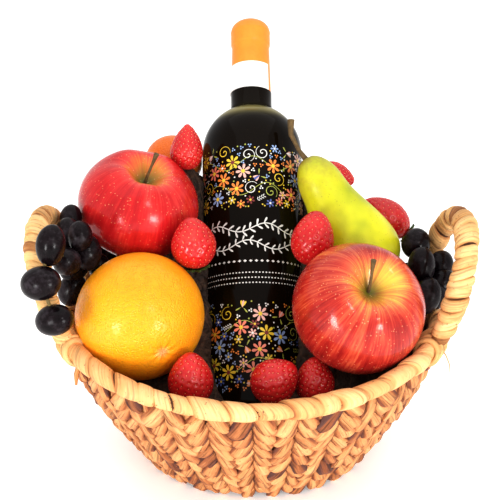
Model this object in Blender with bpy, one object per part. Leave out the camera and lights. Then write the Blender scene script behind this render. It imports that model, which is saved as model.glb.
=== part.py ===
"""Woven gift basket with two side handles, filled with a leaning wine bottle, fruit and grapes.

Metres, +Z up. The origin is the centre of the basket's flat foot, on the ground.
The front of the basket, which the bottle leans away from, looks along -Y.
"""
import math
import random
from typing import NamedTuple

import bmesh
import bpy
from mathutils import Matrix, Vector

# Gaps between pieces that touch
GAP = 0.0004
HANDLE_FOOT_GAP = 0.0006
BED_GAP = 0.0010

# Basket plan and wall
RIM_HALF_X = 0.1230
RIM_HALF_Y = 0.0985
FOOT_HALF_X = 0.0700
FOOT_HALF_Y = 0.0512
FOOT_SHIFT_X = 0.0030
WALL_TOP = 0.0872
WALL_CURVE = 1.22
WALL_THICK = 0.0078
FLOOR_THICK = 0.0080
RIM_LIFT = 0.0120

# Weave of the wall: upright braids, each a stack of chevrons
BRAIDS = 28
CHEVRONS = 9
LEAF_RISE = 0.0024
SEAM_DEPTH = 0.0030
CHEVRON_DROP = 0.0065
LOWEST_LEAF = 0.0015
INNER_ROWS = 4

# Wrapped rim
RIM_RADIUS = 0.0054
RIM_SEGMENTS = 56
RIM_SIDES = 6
WRAP_RELIEF = 0.0004
RIM_TOP_Z = WALL_TOP + 2 * RIM_RADIUS + RIM_LIFT

# Side handles
HANDLE_RADIUS = 0.0078
HANDLE_FOOT_X = 0.1165
HANDLE_FOOT_Z = 0.1062
HANDLE_CENTRE_Y = 0.0030
HANDLE_HALF_SPAN = 0.0425
HANDLE_HEIGHT = 0.0665
HANDLE_OUTREACH = 0.0195
HANDLE_SQUARENESS = 0.85
HANDLE_FULLNESS = 0.75
HANDLE_FLARE = 0.80
HANDLE_FOOT_TAPER = 0.30
HANDLE_RINGS = 29
HANDLE_SIDES = 7
COIL_RELIEF = 0.0005

# Bottle, along its own axis from the base
BOTTLE_BASE = (0.0028, -0.0133, 0.0366)
BOTTLE_LEAN = math.radians(36.4)
BOTTLE_SWAY = math.radians(-0.7)
BOTTLE_RADIUS = 0.0365
BOTTLE_BODY = 0.1904
HEEL = ((0.0050, 0.0), (0.0010, 0.0025), (0.0, 0.0070))
SHOULDER_TURN = math.radians(65)
SHOULDER_STEPS = 5
NECK_RADIUS = 0.0153
NECK_START = 0.2236
NECK_EASE = 0.0030
CAPSULE_START = 0.2380
CAPSULE_END = 0.2980
CAPSULE_RADIUS = 0.0148
WAIST_RADIUS = 0.0140
BEAD_START = 0.2765
BEAD_END = 0.2885
BEAD_RADIUS = 0.0148
BEAD_EASE = 0.0012
DOME_STEPS = 4
BOTTLE_SEGMENTS = 24
BAND_START = 0.2384
BAND_END = 0.2580
BAND_THICK = 0.0006
BAND_HALF_ARC = math.radians(80)
BAND_TURN = math.radians(-24)
BAND_STEPS = 12


class Spot(NamedTuple):
    """Where a fruit lies: its middle, its stem axis, its width and its length."""

    centre: tuple
    axis: tuple
    width: float
    length: float


ORANGE = Spot((-0.0722, -0.0177, 0.1144), (-0.44, 0.88, 0.20), 0.0838, 0.0808)
MANDARIN = Spot((-0.0575, 0.1005, 0.1834), (0.21, 0.06, 0.98), 0.0421, 0.0391)
APPLE_LEFT = Spot((-0.0776, 0.0430, 0.1692), (0.27, -0.30, 0.91), 0.0828, 0.0735)
APPLE_RIGHT = Spot((0.0668, -0.0332, 0.1278), (0.20, -0.60, 0.77), 0.0838, 0.0765)
PEAR = Spot((0.0745, 0.0349, 0.1380), (-0.49, 0.33, 0.81), 0.0576, 0.1012)

STRAWBERRIES = (
    Spot((-0.0452, 0.0682, 0.2038), (0.05, 0.19, 0.98), 0.0226, 0.0316),
    Spot((-0.0379, 0.0024, 0.1578), (-0.10, 0.09, 0.99), 0.0294, 0.0336),
    Spot((-0.0378, -0.0540, 0.0890), (0.00, 0.09, 1.00), 0.0284, 0.0350),
    Spot((0.0403, 0.0078, 0.1589), (0.19, 0.18, 0.96), 0.0282, 0.0362),
    Spot((0.0148, -0.0542, 0.0880), (0.74, 0.00, 0.67), 0.0284, 0.0314),
    Spot((0.0400, -0.0458, 0.0832), (0.00, 0.19, 0.98), 0.0250, 0.0304),
    Spot((0.0964, 0.0693, 0.1512), (-0.80, 0.32, 0.52), 0.0268, 0.0385),
    Spot((0.0606, 0.0798, 0.1790), (0.94, -0.22, -0.25), 0.0196, 0.0280),
)
STEM_SIDES = 6

# Citrus
NAVEL_DEPTH = 0.0015
BUTTON_DEPTH = 0.0020
CITRUS_DIMPLE = 0.08

# Apples; the stem tips are given from the apple's middle
CAVITY_DEPTH = 0.0105
BASIN_DEPTH = 0.0060
APPLE_DIMPLE = 0.13
APPLE_RINGS = 11
APPLE_SEGMENTS = 18
APPLE_LOBES = 5
APPLE_LOBE = 0.018
APPLE_TAPER = 0.10
APPLE_STEM_THIN = 0.0012
APPLE_STEM_THICK = 0.0017
APPLE_STEM_SET = 0.0020
APPLE_STEM_BEND = 0.0010
APPLE_LEFT_STEM = (0.0148, -0.0085, 0.0392)
APPLE_RIGHT_STEM = (0.0052, -0.0190, 0.0402)

# Pear, along its own axis from the middle of its belly
PEAR_LOW = -0.0265
PEAR_NECK_RADIUS = 0.0160
PEAR_BELLY_REACH = 0.72
PEAR_TIP_START = 0.66
PEAR_TIP_REACH = 0.35
PEAR_RINGS = 11
PEAR_SEGMENTS = 16
PEAR_STEM_SET = 0.0060
PEAR_STEM_THIN = 0.0015
PEAR_STEM_THICK = 0.0021
PEAR_STEM_BEND = (-0.0015, 0.0, -0.0015)
PEAR_STEM_TIP = (0.0276, 0.0745, 0.2215)

# Strawberries; the calyx rows are height and reach as a part of half the width
BERRY_SEGMENTS = 9
BERRY_RINGS = 7
BERRY_ROUNDNESS = 0.85
BERRY_TAPER = 0.20
BERRY_SQUARENESS = 0.10
BERRIES_WITH_CALYX = (1, 6)
CALYX_LEAVES = 5
CALYX_ROWS = ((0.0, 0.45), (0.0011, 0.62), (0.0020, 0.42))
CALYX_NOTCH = 0.42
CALYX_DROOP = 0.0012
CALYX_TOP = 0.0024
CALYX_SET = 0.0005

GRAPES_LEFT = (
    Spot((-0.1193, 0.0165, 0.1690), (0.1, 0.5, 0.9), 0.0150, 0.0196),
    Spot((-0.1187, 0.0010, 0.1643), (0.0, 0.3, 1.0), 0.0168, 0.0220),
    Spot((-0.1193, -0.0460, 0.1752), (0.15, 0.2, 1.0), 0.0175, 0.0255),
    Spot((-0.1168, -0.0168, 0.1525), (0.1, -0.9, 0.5), 0.0182, 0.0240),
    Spot((-0.1248, -0.0560, 0.1550), (0.9, -0.3, 0.3), 0.0205, 0.0255),
    Spot((-0.1182, -0.0580, 0.1318), (0.9, -0.3, 0.3), 0.0190, 0.0250),
    Spot((-0.1062, -0.0030, 0.1530), (0.0, 0.3, 1.0), 0.0184, 0.0240),
    Spot((-0.1190, 0.0020, 0.1245), (0.5, 0.2, 1.0), 0.0184, 0.0230),
    Spot((-0.1160, 0.0010, 0.1415), (0.6, 0.5, 0.7), 0.0180, 0.0220),
    Spot((-0.1190, 0.0230, 0.1370), (0.2, 0.5, 0.8), 0.0190, 0.0240),
    Spot((-0.1035, 0.0185, 0.1350), (0.1, 0.3, 0.9), 0.0150, 0.0168),
    Spot((-0.1095, -0.0066, 0.1655), (0.0, 0.2, 1.0), 0.0160, 0.0205),
)
GRAPES_RIGHT = (
    Spot((0.1135, 0.0320, 0.1455), (0.3, 0.3, 0.9), 0.0180, 0.0210),
    Spot((0.1130, 0.0090, 0.1385), (0.05, 0.2, 1.0), 0.0182, 0.0260),
    Spot((0.1290, 0.0230, 0.1320), (0.2, 0.4, 0.8), 0.0178, 0.0230),
    Spot((0.1270, 0.0090, 0.1250), (0.6, 0.2, 0.6), 0.0178, 0.0230),
    Spot((0.1155, -0.0050, 0.1235), (0.15, 0.2, 1.0), 0.0184, 0.0250),
    Spot((0.1070, -0.0125, 0.1050), (0.1, 0.2, 1.0), 0.0160, 0.0220),
    Spot((0.1150, 0.0210, 0.1290), (0.3, 0.8, 0.4), 0.0190, 0.0240),
    Spot((0.1080, 0.0250, 0.1225), (0.1, 0.3, 0.9), 0.0180, 0.0220),
    Spot((0.1210, 0.0000, 0.1208), (0.3, 0.9, 0.3), 0.0176, 0.0200),
)
STALK_RADIUS = 0.0020
GRAPE_TOUCH = 0.97

# Crumpled packing paper under the fruit
BED_SEGMENTS = 40
BED_SIDE_ROWS = 3
BED_TOP_ROWS = 5
BED_FRONT_Z = 0.0720
BED_FRONT_Y = -0.0540
BED_SLOPE = 0.70
BED_END_DROP = 0.0320
BED_CREST_Z = 0.1690
BED_CRUMPLE = 0.0022
BED_BULGE = 0.0125
BED_SHOULDER = 0.0060
BED_TROUGH = 0.0260
BED_TROUGH_HALF_X = 0.0430
BED_TROUGH_END_Y = 0.0300
BED_PEAKS = (
    ((-0.0470, 0.0060), 0.0340, 0.0110),
    ((0.0480, 0.0140), 0.0270, 0.0110),
    ((-0.0440, 0.0720), 0.0400, 0.0130),
    ((0.0690, -0.0300), 0.0100, 0.0250),
    ((0.0646, 0.0820), 0.0060, 0.0180),
)

COLOURS = {
    "straw": ((0.58, 0.38, 0.19), 0.75),
    "straw_pale": ((0.66, 0.47, 0.26), 0.70),
    "paper": ((0.16, 0.10, 0.06), 0.90),
    "glass_dark": ((0.010, 0.013, 0.008), 0.08),
    "capsule_orange": ((0.90, 0.36, 0.05), 0.40),
    "band_white": ((0.85, 0.83, 0.79), 0.60),
    "orange_peel": ((0.95, 0.36, 0.03), 0.42),
    "mandarin_peel": ((0.90, 0.28, 0.03), 0.45),
    "apple_skin": ((0.55, 0.03, 0.03), 0.28),
    "pear_skin": ((0.55, 0.58, 0.10), 0.45),
    "berry": ((0.60, 0.02, 0.02), 0.35),
    "grape": ((0.015, 0.012, 0.03), 0.35),
}


def clear_scene():
    """Remove every object of the open file."""
    for obj in list(bpy.data.objects):
        bpy.data.objects.remove(obj, do_unlink=True)


def material(key):
    """Principled material of one of the named colours."""
    found = bpy.data.materials.get(key)
    if found:
        return found
    colour, roughness = COLOURS[key]
    made = bpy.data.materials.new(key)
    made.use_nodes = True
    shader = made.node_tree.nodes["Principled BSDF"]
    shader.inputs["Base Color"].default_value = (*colour, 1.0)
    shader.inputs["Roughness"].default_value = roughness
    shader.inputs["Metallic"].default_value = 0.0
    made.diffuse_color = (*colour, 1.0)
    return made


def add_object(name, mesh, key, smooth=True):
    """Put a mesh in the scene as a named piece with its material."""
    mesh.materials.clear()
    mesh.materials.append(material(key))
    if smooth:
        mesh.shade_smooth()
        mesh.set_sharp_from_angle(angle=math.radians(50))
    obj = bpy.data.objects.new(name, mesh)
    bpy.context.scene.collection.objects.link(obj)
    return obj


def turn_to(axis, centre):
    """Matrix that carries +Z onto an axis and the origin onto a centre."""
    turn = Vector((0, 0, 1)).rotation_difference(Vector(axis).normalized())
    return Matrix.Translation(Vector(centre)) @ turn.to_matrix().to_4x4()


def loft(rings, start, end):
    """Closed skin through equal rings of points, drawn to one point at either end."""
    bm = bmesh.new()
    rows = [[bm.verts.new(point) for point in ring] for ring in rings]
    for low, high in zip(rows, rows[1:]):
        for i, corner in enumerate(low):
            j = (i + 1) % len(low)
            bm.faces.new((corner, low[j], high[j], high[i]))
    for row, tip, order in ((rows[0], start, -1), (rows[-1], end, 1)):
        point = bm.verts.new(tip)
        for i, corner in enumerate(row):
            after = row[(i + 1) % len(row)]
            bm.faces.new((corner, after, point)[::order])
    bmesh.ops.recalc_face_normals(bm, faces=bm.faces)
    bmesh.ops.triangulate(bm, faces=bm.faces)
    mesh = bpy.data.meshes.new("skin")
    bm.to_mesh(mesh)
    bm.free()
    return mesh


def closed_loop(rings):
    """Closed skin of a ring of rings, as a hoop has."""
    bm = bmesh.new()
    rows = [[bm.verts.new(point) for point in ring] for ring in rings]
    for k, low in enumerate(rows):
        high = rows[(k + 1) % len(rows)]
        for i, corner in enumerate(low):
            j = (i + 1) % len(low)
            bm.faces.new((corner, low[j], high[j], high[i]))
    bmesh.ops.recalc_face_normals(bm, faces=bm.faces)
    bmesh.ops.triangulate(bm, faces=bm.faces)
    mesh = bpy.data.meshes.new("hoop")
    bm.to_mesh(mesh)
    bm.free()
    return mesh


def circle(radius, height, segments):
    """Ring of points about +Z."""
    step = 2 * math.pi / segments
    return [
        (radius * math.cos(i * step), radius * math.sin(i * step), height)
        for i in range(segments)
    ]


def turned(profile, segments, lobes=None):
    """Closed turned body from (radius, height) points; the first and last lie on the axis."""
    rings = []
    for radius, height in profile[1:-1]:
        ring = circle(radius, height, segments)
        if lobes:
            ring = [lobes(Vector(point)) for point in ring]
        rings.append(ring)
    return loft(rings, (0, 0, profile[0][1]), (0, 0, profile[-1][1]))


def tube(path, radii, sides):
    """Closed tube along a list of points, with flat caps."""
    points = [Vector(point) for point in path]
    rings = []
    normal = None
    for k, point in enumerate(points):
        ahead = points[min(k + 1, len(points) - 1)]
        behind = points[max(k - 1, 0)]
        along = (ahead - behind).normalized()
        if normal is None:
            normal = along.orthogonal().normalized()
        normal = (normal - along * normal.dot(along)).normalized()
        across = along.cross(normal)
        step = 2 * math.pi / sides
        rings.append([
            point + radii[k] * (normal * math.cos(i * step) + across * math.sin(i * step))
            for i in range(sides)
        ])
    return loft(rings, points[0], points[-1])


def evaluated_mesh(obj):
    """Mesh of an object with its modifiers carried out."""
    graph = bpy.context.evaluated_depsgraph_get()
    graph.update()
    return bpy.data.meshes.new_from_object(obj.evaluated_get(graph))


def drop_scraps(mesh):
    """Keep the largest connected shell of a mesh."""
    bm = bmesh.new()
    bm.from_mesh(mesh)
    bmesh.ops.remove_doubles(bm, verts=bm.verts, dist=0.00002)
    left = set(bm.faces)
    shells = []
    while left:
        stack = [left.pop()]
        shell = []
        while stack:
            face = stack.pop()
            shell.append(face)
            for edge in face.edges:
                for other in edge.link_faces:
                    if other in left:
                        left.remove(other)
                        stack.append(other)
        shells.append(shell)
    shells.sort(key=lambda faces: sum(face.calc_area() for face in faces))
    scraps = [face for shell in shells[:-1] for face in shell]
    bmesh.ops.delete(bm, geom=scraps, context="FACES")
    bmesh.ops.triangulate(bm, faces=bm.faces)
    bm.to_mesh(mesh)
    bm.free()
    return mesh


def fuse(name, meshes, key):
    """One body from overlapping closed meshes, by one Boolean union on a collection."""
    first = add_object(name, meshes[0], key)
    group = bpy.data.collections.new(name + "_pieces")
    bpy.context.scene.collection.children.link(group)
    for mesh in meshes[1:]:
        group.objects.link(bpy.data.objects.new(name + "_piece", mesh))
    union = first.modifiers.new("fuse", "BOOLEAN")
    union.operation = "UNION"
    union.operand_type = "COLLECTION"
    union.collection = group
    union.solver = "EXACT"
    mesh = drop_scraps(evaluated_mesh(first))
    for obj in list(group.objects) + [first]:
        bpy.data.objects.remove(obj, do_unlink=True)
    bpy.data.collections.remove(group)
    return add_object(name, mesh, key)


def cut(obj, cutters):
    """Take closed meshes out of an object, one after another."""
    for mesh in cutters:
        cutter = bpy.data.objects.new("cutter", mesh)
        cutter.hide_render = True
        cutter.display_type = "WIRE"
        bpy.context.scene.collection.objects.link(cutter)
        difference = obj.modifiers.new("cut", "BOOLEAN")
        difference.operation = "DIFFERENCE"
        difference.solver = "EXACT"
        difference.object = cutter
        mesh = drop_scraps(evaluated_mesh(obj))
        obj.modifiers.clear()
        obj.data = mesh
        bpy.data.objects.remove(cutter, do_unlink=True)
    mesh = obj.data
    mesh.shade_smooth()
    mesh.set_sharp_from_angle(angle=math.radians(50))


def swollen(mesh, amount):
    """Copy of a mesh with each point moved out along its normal."""
    copy = mesh.copy()
    normals = [Vector(vertex.normal) for vertex in copy.vertices]
    for vertex, normal in zip(copy.vertices, normals):
        vertex.co += normal * amount
    return copy


def placed(mesh, matrix):
    """Mesh carried to its place."""
    mesh.transform(matrix)
    return mesh


def wall_point(angle, height, outset):
    """Point of the basket's wall at a plan angle and height, moved out by an amount."""
    fraction = min(max(height / WALL_TOP, 0.0), 1.0)
    inset = (1 - fraction) ** WALL_CURVE
    half_x = RIM_HALF_X - (RIM_HALF_X - FOOT_HALF_X) * inset + outset
    half_y = RIM_HALF_Y - (RIM_HALF_Y - FOOT_HALF_Y) * inset + outset
    middle_x = FOOT_SHIFT_X * inset
    lift = RIM_LIFT * fraction ** 2 * math.cos(angle) ** 2
    return Vector((
        middle_x + half_x * math.cos(angle),
        half_y * math.sin(angle),
        height + lift,
    ))


def rim_centre(angle):
    """Middle of the wrapped rim, just above the wall."""
    point = wall_point(angle, WALL_TOP, 0.0)
    point.z += RIM_RADIUS + GAP
    return point


def basket_body():
    """Floor and wall of upright braids, each a stack of plump chevrons."""
    around = 2 * BRAIDS
    rows = 2 * CHEVRONS
    step = 2 * math.pi / around
    rings = [[wall_point(i * step, 0.0, -LEAF_RISE) for i in range(around)]]
    for k in range(1, rows + 1):
        height = WALL_TOP * k / rows
        slack = min(1.0, k / 2, (rows - k) / 2)
        ring = []
        for i in range(around):
            seam = i % 2
            drop = CHEVRON_DROP * slack * seam
            outset = LEAF_RISE * (k % 2) - SEAM_DEPTH * seam
            ring.append(wall_point(i * step, max(height - drop, LOWEST_LEAF), outset))
        rings.append(ring)
    for k in range(INNER_ROWS + 1):
        height = WALL_TOP + (FLOOR_THICK - WALL_TOP) * k / INNER_ROWS
        rings.append([wall_point(i * step, height, -WALL_THICK) for i in range(around)])
    mesh = loft(rings, (0, 0, 0), (0, 0, FLOOR_THICK))
    return add_object("basket_body", mesh, "straw")


def rim_rings(radius, relief):
    """Sections of the rim, each a ring of points with a flat underside."""
    rings = []
    for k in range(RIM_SEGMENTS):
        angle = 2 * math.pi * k / RIM_SEGMENTS
        centre = rim_centre(angle)
        ahead = rim_centre(angle + 0.01) - rim_centre(angle - 0.01)
        out = Vector((ahead.y, -ahead.x, 0)).normalized()
        up = Vector((0, 0, 1))
        reach = radius + relief * (k % 2)
        ring = []
        for i in range(RIM_SIDES):
            turn = 2 * math.pi * (i + 0.5) / RIM_SIDES
            lift = radius if math.sin(turn) < 0 else reach
            ring.append(centre + out * reach * math.cos(turn) + up * lift * math.sin(turn))
        rings.append(ring)
    return rings


def basket_rim():
    """Hoop wrapped with flat strands."""
    return add_object("basket_rim", closed_loop(rim_rings(RIM_RADIUS, WRAP_RELIEF)), "straw_pale")


def handle_point(side, turn):
    """Middle of a handle; the turn runs from 0 at its front foot to pi at its back foot."""
    across = math.copysign(abs(math.cos(turn)) ** HANDLE_SQUARENESS, math.cos(turn))
    rise = math.sin(turn) ** HANDLE_FULLNESS
    return Vector((
        side * (HANDLE_FOOT_X + HANDLE_OUTREACH * rise ** HANDLE_FLARE),
        HANDLE_CENTRE_Y - HANDLE_HALF_SPAN * across,
        HANDLE_FOOT_Z + HANDLE_HEIGHT * rise,
    ))


def handle(name, side):
    """Arched handle bound with a coil, standing on the rim."""
    turns = [math.pi * k / (HANDLE_RINGS - 1) for k in range(HANDLE_RINGS)]
    path = [handle_point(side, turn) for turn in turns]
    radii = []
    for k, turn in enumerate(turns):
        foot = (1 - math.sin(turn) ** HANDLE_FULLNESS) ** 3
        coil = COIL_RELIEF * (2 * (k % 2) - 1)
        radii.append((HANDLE_RADIUS + coil) * (1 - HANDLE_FOOT_TAPER * foot))
    obj = add_object(name, tube(path, radii, HANDLE_SIDES), "straw_pale")
    cut(obj, [closed_loop(rim_rings(RIM_RADIUS + HANDLE_FOOT_GAP, WRAP_RELIEF))])


def bottle_matrix():
    """Place of the leaning bottle."""
    axis = (math.sin(BOTTLE_SWAY), math.sin(BOTTLE_LEAN), math.cos(BOTTLE_LEAN))
    return turn_to(axis, BOTTLE_BASE)


def bottle_profile():
    """Outline of the glass from the base's middle to the neck's end."""
    outline = [(0.0, 0.0)]
    outline += [(BOTTLE_RADIUS - inset, height) for inset, height in HEEL]
    outline.append((BOTTLE_RADIUS, BOTTLE_BODY / 2))
    for k in range(SHOULDER_STEPS + 1):
        turn = SHOULDER_TURN * k / SHOULDER_STEPS
        outline.append((BOTTLE_RADIUS * math.cos(turn), BOTTLE_BODY + BOTTLE_RADIUS * math.sin(turn)))
    outline += [
        (NECK_RADIUS, NECK_START + NECK_EASE),
        (NECK_RADIUS, CAPSULE_START - GAP),
        (0.0, CAPSULE_START - GAP),
    ]
    return outline


def bottle_mesh():
    """Glass of the bottle in its place."""
    return placed(turned(bottle_profile(), BOTTLE_SEGMENTS), bottle_matrix())


def capsule():
    """Capsule over the bottle's mouth, with the bead of the glass showing through."""
    outline = [
        (0.0, CAPSULE_START),
        (CAPSULE_RADIUS, CAPSULE_START),
        (WAIST_RADIUS, BEAD_START),
        (BEAD_RADIUS, BEAD_START + BEAD_EASE),
    ]
    for k in range(DOME_STEPS):
        turn = math.pi / 2 * k / DOME_STEPS
        rise = (CAPSULE_END - BEAD_END) * math.sin(turn)
        outline.append((BEAD_RADIUS * math.cos(turn), BEAD_END + rise))
    outline.append((0.0, CAPSULE_END))
    mesh = turned(outline, BOTTLE_SEGMENTS)
    return add_object("capsule", placed(mesh, bottle_matrix()), "capsule_orange")


def neck_band():
    """Paper band round the front of the capsule."""
    slope = (CAPSULE_RADIUS - WAIST_RADIUS) / (BEAD_START - CAPSULE_START)
    rings = []
    for k in range(BAND_STEPS + 1):
        turn = -math.pi / 2 + BAND_TURN + BAND_HALF_ARC * (2 * k / BAND_STEPS - 1)
        ring = []
        for height, lift in ((BAND_START, 0), (BAND_END, 0), (BAND_END, 1), (BAND_START, 1)):
            radius = CAPSULE_RADIUS - slope * (height - CAPSULE_START)
            radius += GAP + BAND_THICK * lift
            ring.append(Vector((radius * math.cos(turn), radius * math.sin(turn), height)))
        rings.append(ring)
    first = sum(rings[0], Vector()) / 4
    last = sum(rings[-1], Vector()) / 4
    mesh = loft(rings, first, last)
    return add_object("neck_band", placed(mesh, bottle_matrix()), "band_white")


def round_outline(width, length, rings, dimple_top=0.0, dimple_bottom=0.0, dimple_width=0.2):
    """Half outline of a round fruit, from its lower to its upper pole, with dimpled poles."""
    outline = []
    for k in range(rings + 2):
        turn = math.pi * k / (rings + 1)
        radius = width / 2 * math.sin(turn)
        height = -length / 2 * math.cos(turn)
        near = math.exp(-((radius / (width * dimple_width)) ** 2))
        if turn > math.pi / 2:
            height -= dimple_top * near
        else:
            height += dimple_bottom * near
        outline.append((max(radius, 0.0), height))
    return outline


def citrus_mesh(spot, segments, rings):
    """Orange or mandarin with a shallow dimple at each pole."""
    dimples = (BUTTON_DEPTH, NAVEL_DEPTH, CITRUS_DIMPLE)
    outline = round_outline(spot.width, spot.length, rings, *dimples)
    return placed(turned(outline, segments), turn_to(spot.axis, spot.centre))


def stem(start, end, bend, thin, thick, steps):
    """Woody stem between two points, bent sideways and thicker at its free end."""
    path = []
    radii = []
    for k in range(steps + 1):
        part = k / steps
        sag = Vector(bend) * math.sin(part * math.pi)
        path.append(Vector(start).lerp(Vector(end), part) + sag)
        radii.append(thin + (thick - thin) * part ** 3)
    return tube(path, radii, STEM_SIDES)


def apple_mesh(spot):
    """Apple with a deep stem cavity, a shallow basin below and five low lobes."""

    def shaped(point):
        turn = math.atan2(point.y, point.x)
        low = max(0.0, -point.z / (spot.length / 2))
        swell = 1 + APPLE_LOBE * math.cos(APPLE_LOBES * turn) * low
        swell *= 1 - APPLE_TAPER * low ** 2
        return Vector((point.x * swell, point.y * swell, point.z))

    dimples = (CAVITY_DEPTH, BASIN_DEPTH, APPLE_DIMPLE)
    outline = round_outline(spot.width, spot.length, APPLE_RINGS, *dimples)
    return placed(turned(outline, APPLE_SEGMENTS, shaped), turn_to(spot.axis, spot.centre))


def apple(name, spot, stem_tip):
    """Apple with its stem, whose tip is given from the apple's middle."""
    along = Vector(spot.axis).normalized()
    foot = Vector(spot.centre) + along * (spot.length / 2 - CAVITY_DEPTH - APPLE_STEM_SET)
    tip = Vector(spot.centre) + Vector(stem_tip)
    twig = stem(foot, tip, along * APPLE_STEM_BEND, APPLE_STEM_THIN, APPLE_STEM_THICK, 3)
    fuse(name, [apple_mesh(spot), twig], "apple_skin")


def pear_outline(width, length):
    """Half outline of a pear, from its blossom end to its stem end."""
    belly = width / 2
    low = PEAR_LOW
    high = length + low
    outline = [(0.0, low)]
    for k in range(1, PEAR_RINGS):
        turn = math.pi * k / PEAR_RINGS
        height = low + (high - low) * (1 - math.cos(turn)) / 2
        if height < 0:
            radius = belly * math.sqrt(1 - (height / low) ** 2)
        else:
            along = height / high
            shape = 0.5 + 0.5 * math.cos(math.pi * min(along / PEAR_BELLY_REACH, 1.0))
            radius = PEAR_NECK_RADIUS + (belly - PEAR_NECK_RADIUS) * shape
            past = max(along - PEAR_TIP_START, 0.0) / PEAR_TIP_REACH
            radius *= math.sqrt(1 - past ** 2)
        outline.append((radius, height))
    outline.append((0.0, high))
    return outline


def pear_mesh():
    """Pear lying against the slope, its neck towards the bottle."""
    body = turned(pear_outline(PEAR.width, PEAR.length), PEAR_SEGMENTS)
    return placed(body, turn_to(PEAR.axis, PEAR.centre))


def pear():
    """Pear with its curved stem."""
    foot = Vector((0, 0, PEAR.length + PEAR_LOW - PEAR_STEM_SET))
    foot = turn_to(PEAR.axis, PEAR.centre) @ foot
    twig = stem(foot, PEAR_STEM_TIP, PEAR_STEM_BEND, PEAR_STEM_THIN, PEAR_STEM_THICK, 5)
    fuse("pear", [pear_mesh(), twig], "pear_skin")


def berry_outline(width, length):
    """Half outline of a strawberry, from its broad shoulder to its tip."""
    outline = []
    for k in range(BERRY_RINGS + 2):
        turn = math.pi * k / (BERRY_RINGS + 1)
        radius = max(math.sin(turn), 0.0) ** BERRY_ROUNDNESS
        radius *= 1 + BERRY_TAPER * math.cos(turn) - BERRY_SQUARENESS * math.cos(2 * turn)
        outline.append((radius, -length / 2 * math.cos(turn)))
    widest = max(radius for radius, height in outline)
    return [(radius * width / 2 / widest, height) for radius, height in outline]


def calyx(width, length):
    """Star of small leaves on a strawberry's shoulder, opening downwards."""
    rings = []
    for height, reach in CALYX_ROWS:
        ring = []
        for i in range(2 * CALYX_LEAVES):
            turn = math.pi * i / CALYX_LEAVES
            leaf = i % 2
            radius = width / 2 * reach * (1 if leaf else CALYX_NOTCH)
            across = radius * math.cos(turn)
            aside = radius * math.sin(turn)
            ring.append((across, aside, height - CALYX_DROOP * leaf))
        rings.append(ring)
    mesh = loft(rings, (0, 0, 0), (0, 0, CALYX_TOP))
    shoulder = Matrix.Translation((0, 0, CALYX_SET - length / 2))
    return placed(mesh, shoulder @ Matrix.Rotation(math.pi, 4, "X"))


def berry_mesh(spot):
    """Strawberry with its tip along the axis."""
    body = turned(berry_outline(spot.width, spot.length), BERRY_SEGMENTS)
    return placed(body, turn_to(spot.axis, spot.centre))


def strawberry(index, spot):
    """Strawberry; two of them show their leaves."""
    name = f"strawberry_{index + 1}"
    if index in BERRIES_WITH_CALYX:
        star = placed(calyx(spot.width, spot.length), turn_to(spot.axis, spot.centre))
        fuse(name, [berry_mesh(spot), star], "berry")
    else:
        add_object(name, berry_mesh(spot), "berry")


def ball():
    """Unit ball of small triangles."""
    bm = bmesh.new()
    bmesh.ops.create_icosphere(bm, subdivisions=2, radius=1.0)
    mesh = bpy.data.meshes.new("ball")
    bm.to_mesh(mesh)
    bm.free()
    return mesh


def grape(spot):
    """Oval grape."""
    mesh = ball()
    mesh.transform(Matrix.Diagonal((spot.width / 2, spot.width / 2, spot.length / 2, 1.0)))
    return placed(mesh, turn_to(spot.axis, spot.centre))


def stalks(spots):
    """Short stalks between neighbouring grapes, so that every grape hangs on the bunch."""
    joined = [0]
    meshes = []
    while len(joined) < len(spots):
        gap, inside, outside = min(
            ((Vector(spots[i].centre) - Vector(spots[j].centre)).length, i, j)
            for i in joined
            for j in range(len(spots))
            if j not in joined
        )
        joined.append(outside)
        if gap > GRAPE_TOUCH * (spots[inside].width + spots[outside].width) / 2:
            ends = (spots[inside].centre, spots[outside].centre)
            meshes.append(tube(ends, (STALK_RADIUS, STALK_RADIUS), 4))
    return meshes


def grapes(name, spots):
    """Bunch of grapes pressed together, as one body."""
    return fuse(name, [grape(spot) for spot in spots] + stalks(spots), "grape")


def bed_height(x, y):
    """Height of the packing's top at a place in plan."""
    height = BED_FRONT_Z + BED_SLOPE * (y - BED_FRONT_Y)
    height = max(height, BED_FRONT_Z - 0.004)
    height = min(height, BED_CREST_Z)
    height -= BED_END_DROP * (x / RIM_HALF_X) ** 2
    ahead = min(max((BED_TROUGH_END_Y - y) / 0.03, 0.0), 1.0)
    height -= BED_TROUGH * ahead * math.exp(-((x / BED_TROUGH_HALF_X) ** 4))
    for (peak_x, peak_y), rise, spread in BED_PEAKS:
        far = ((x - peak_x) ** 2 + (y - peak_y) ** 2) / spread ** 2
        height += rise * math.exp(-far)
    return height


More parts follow.
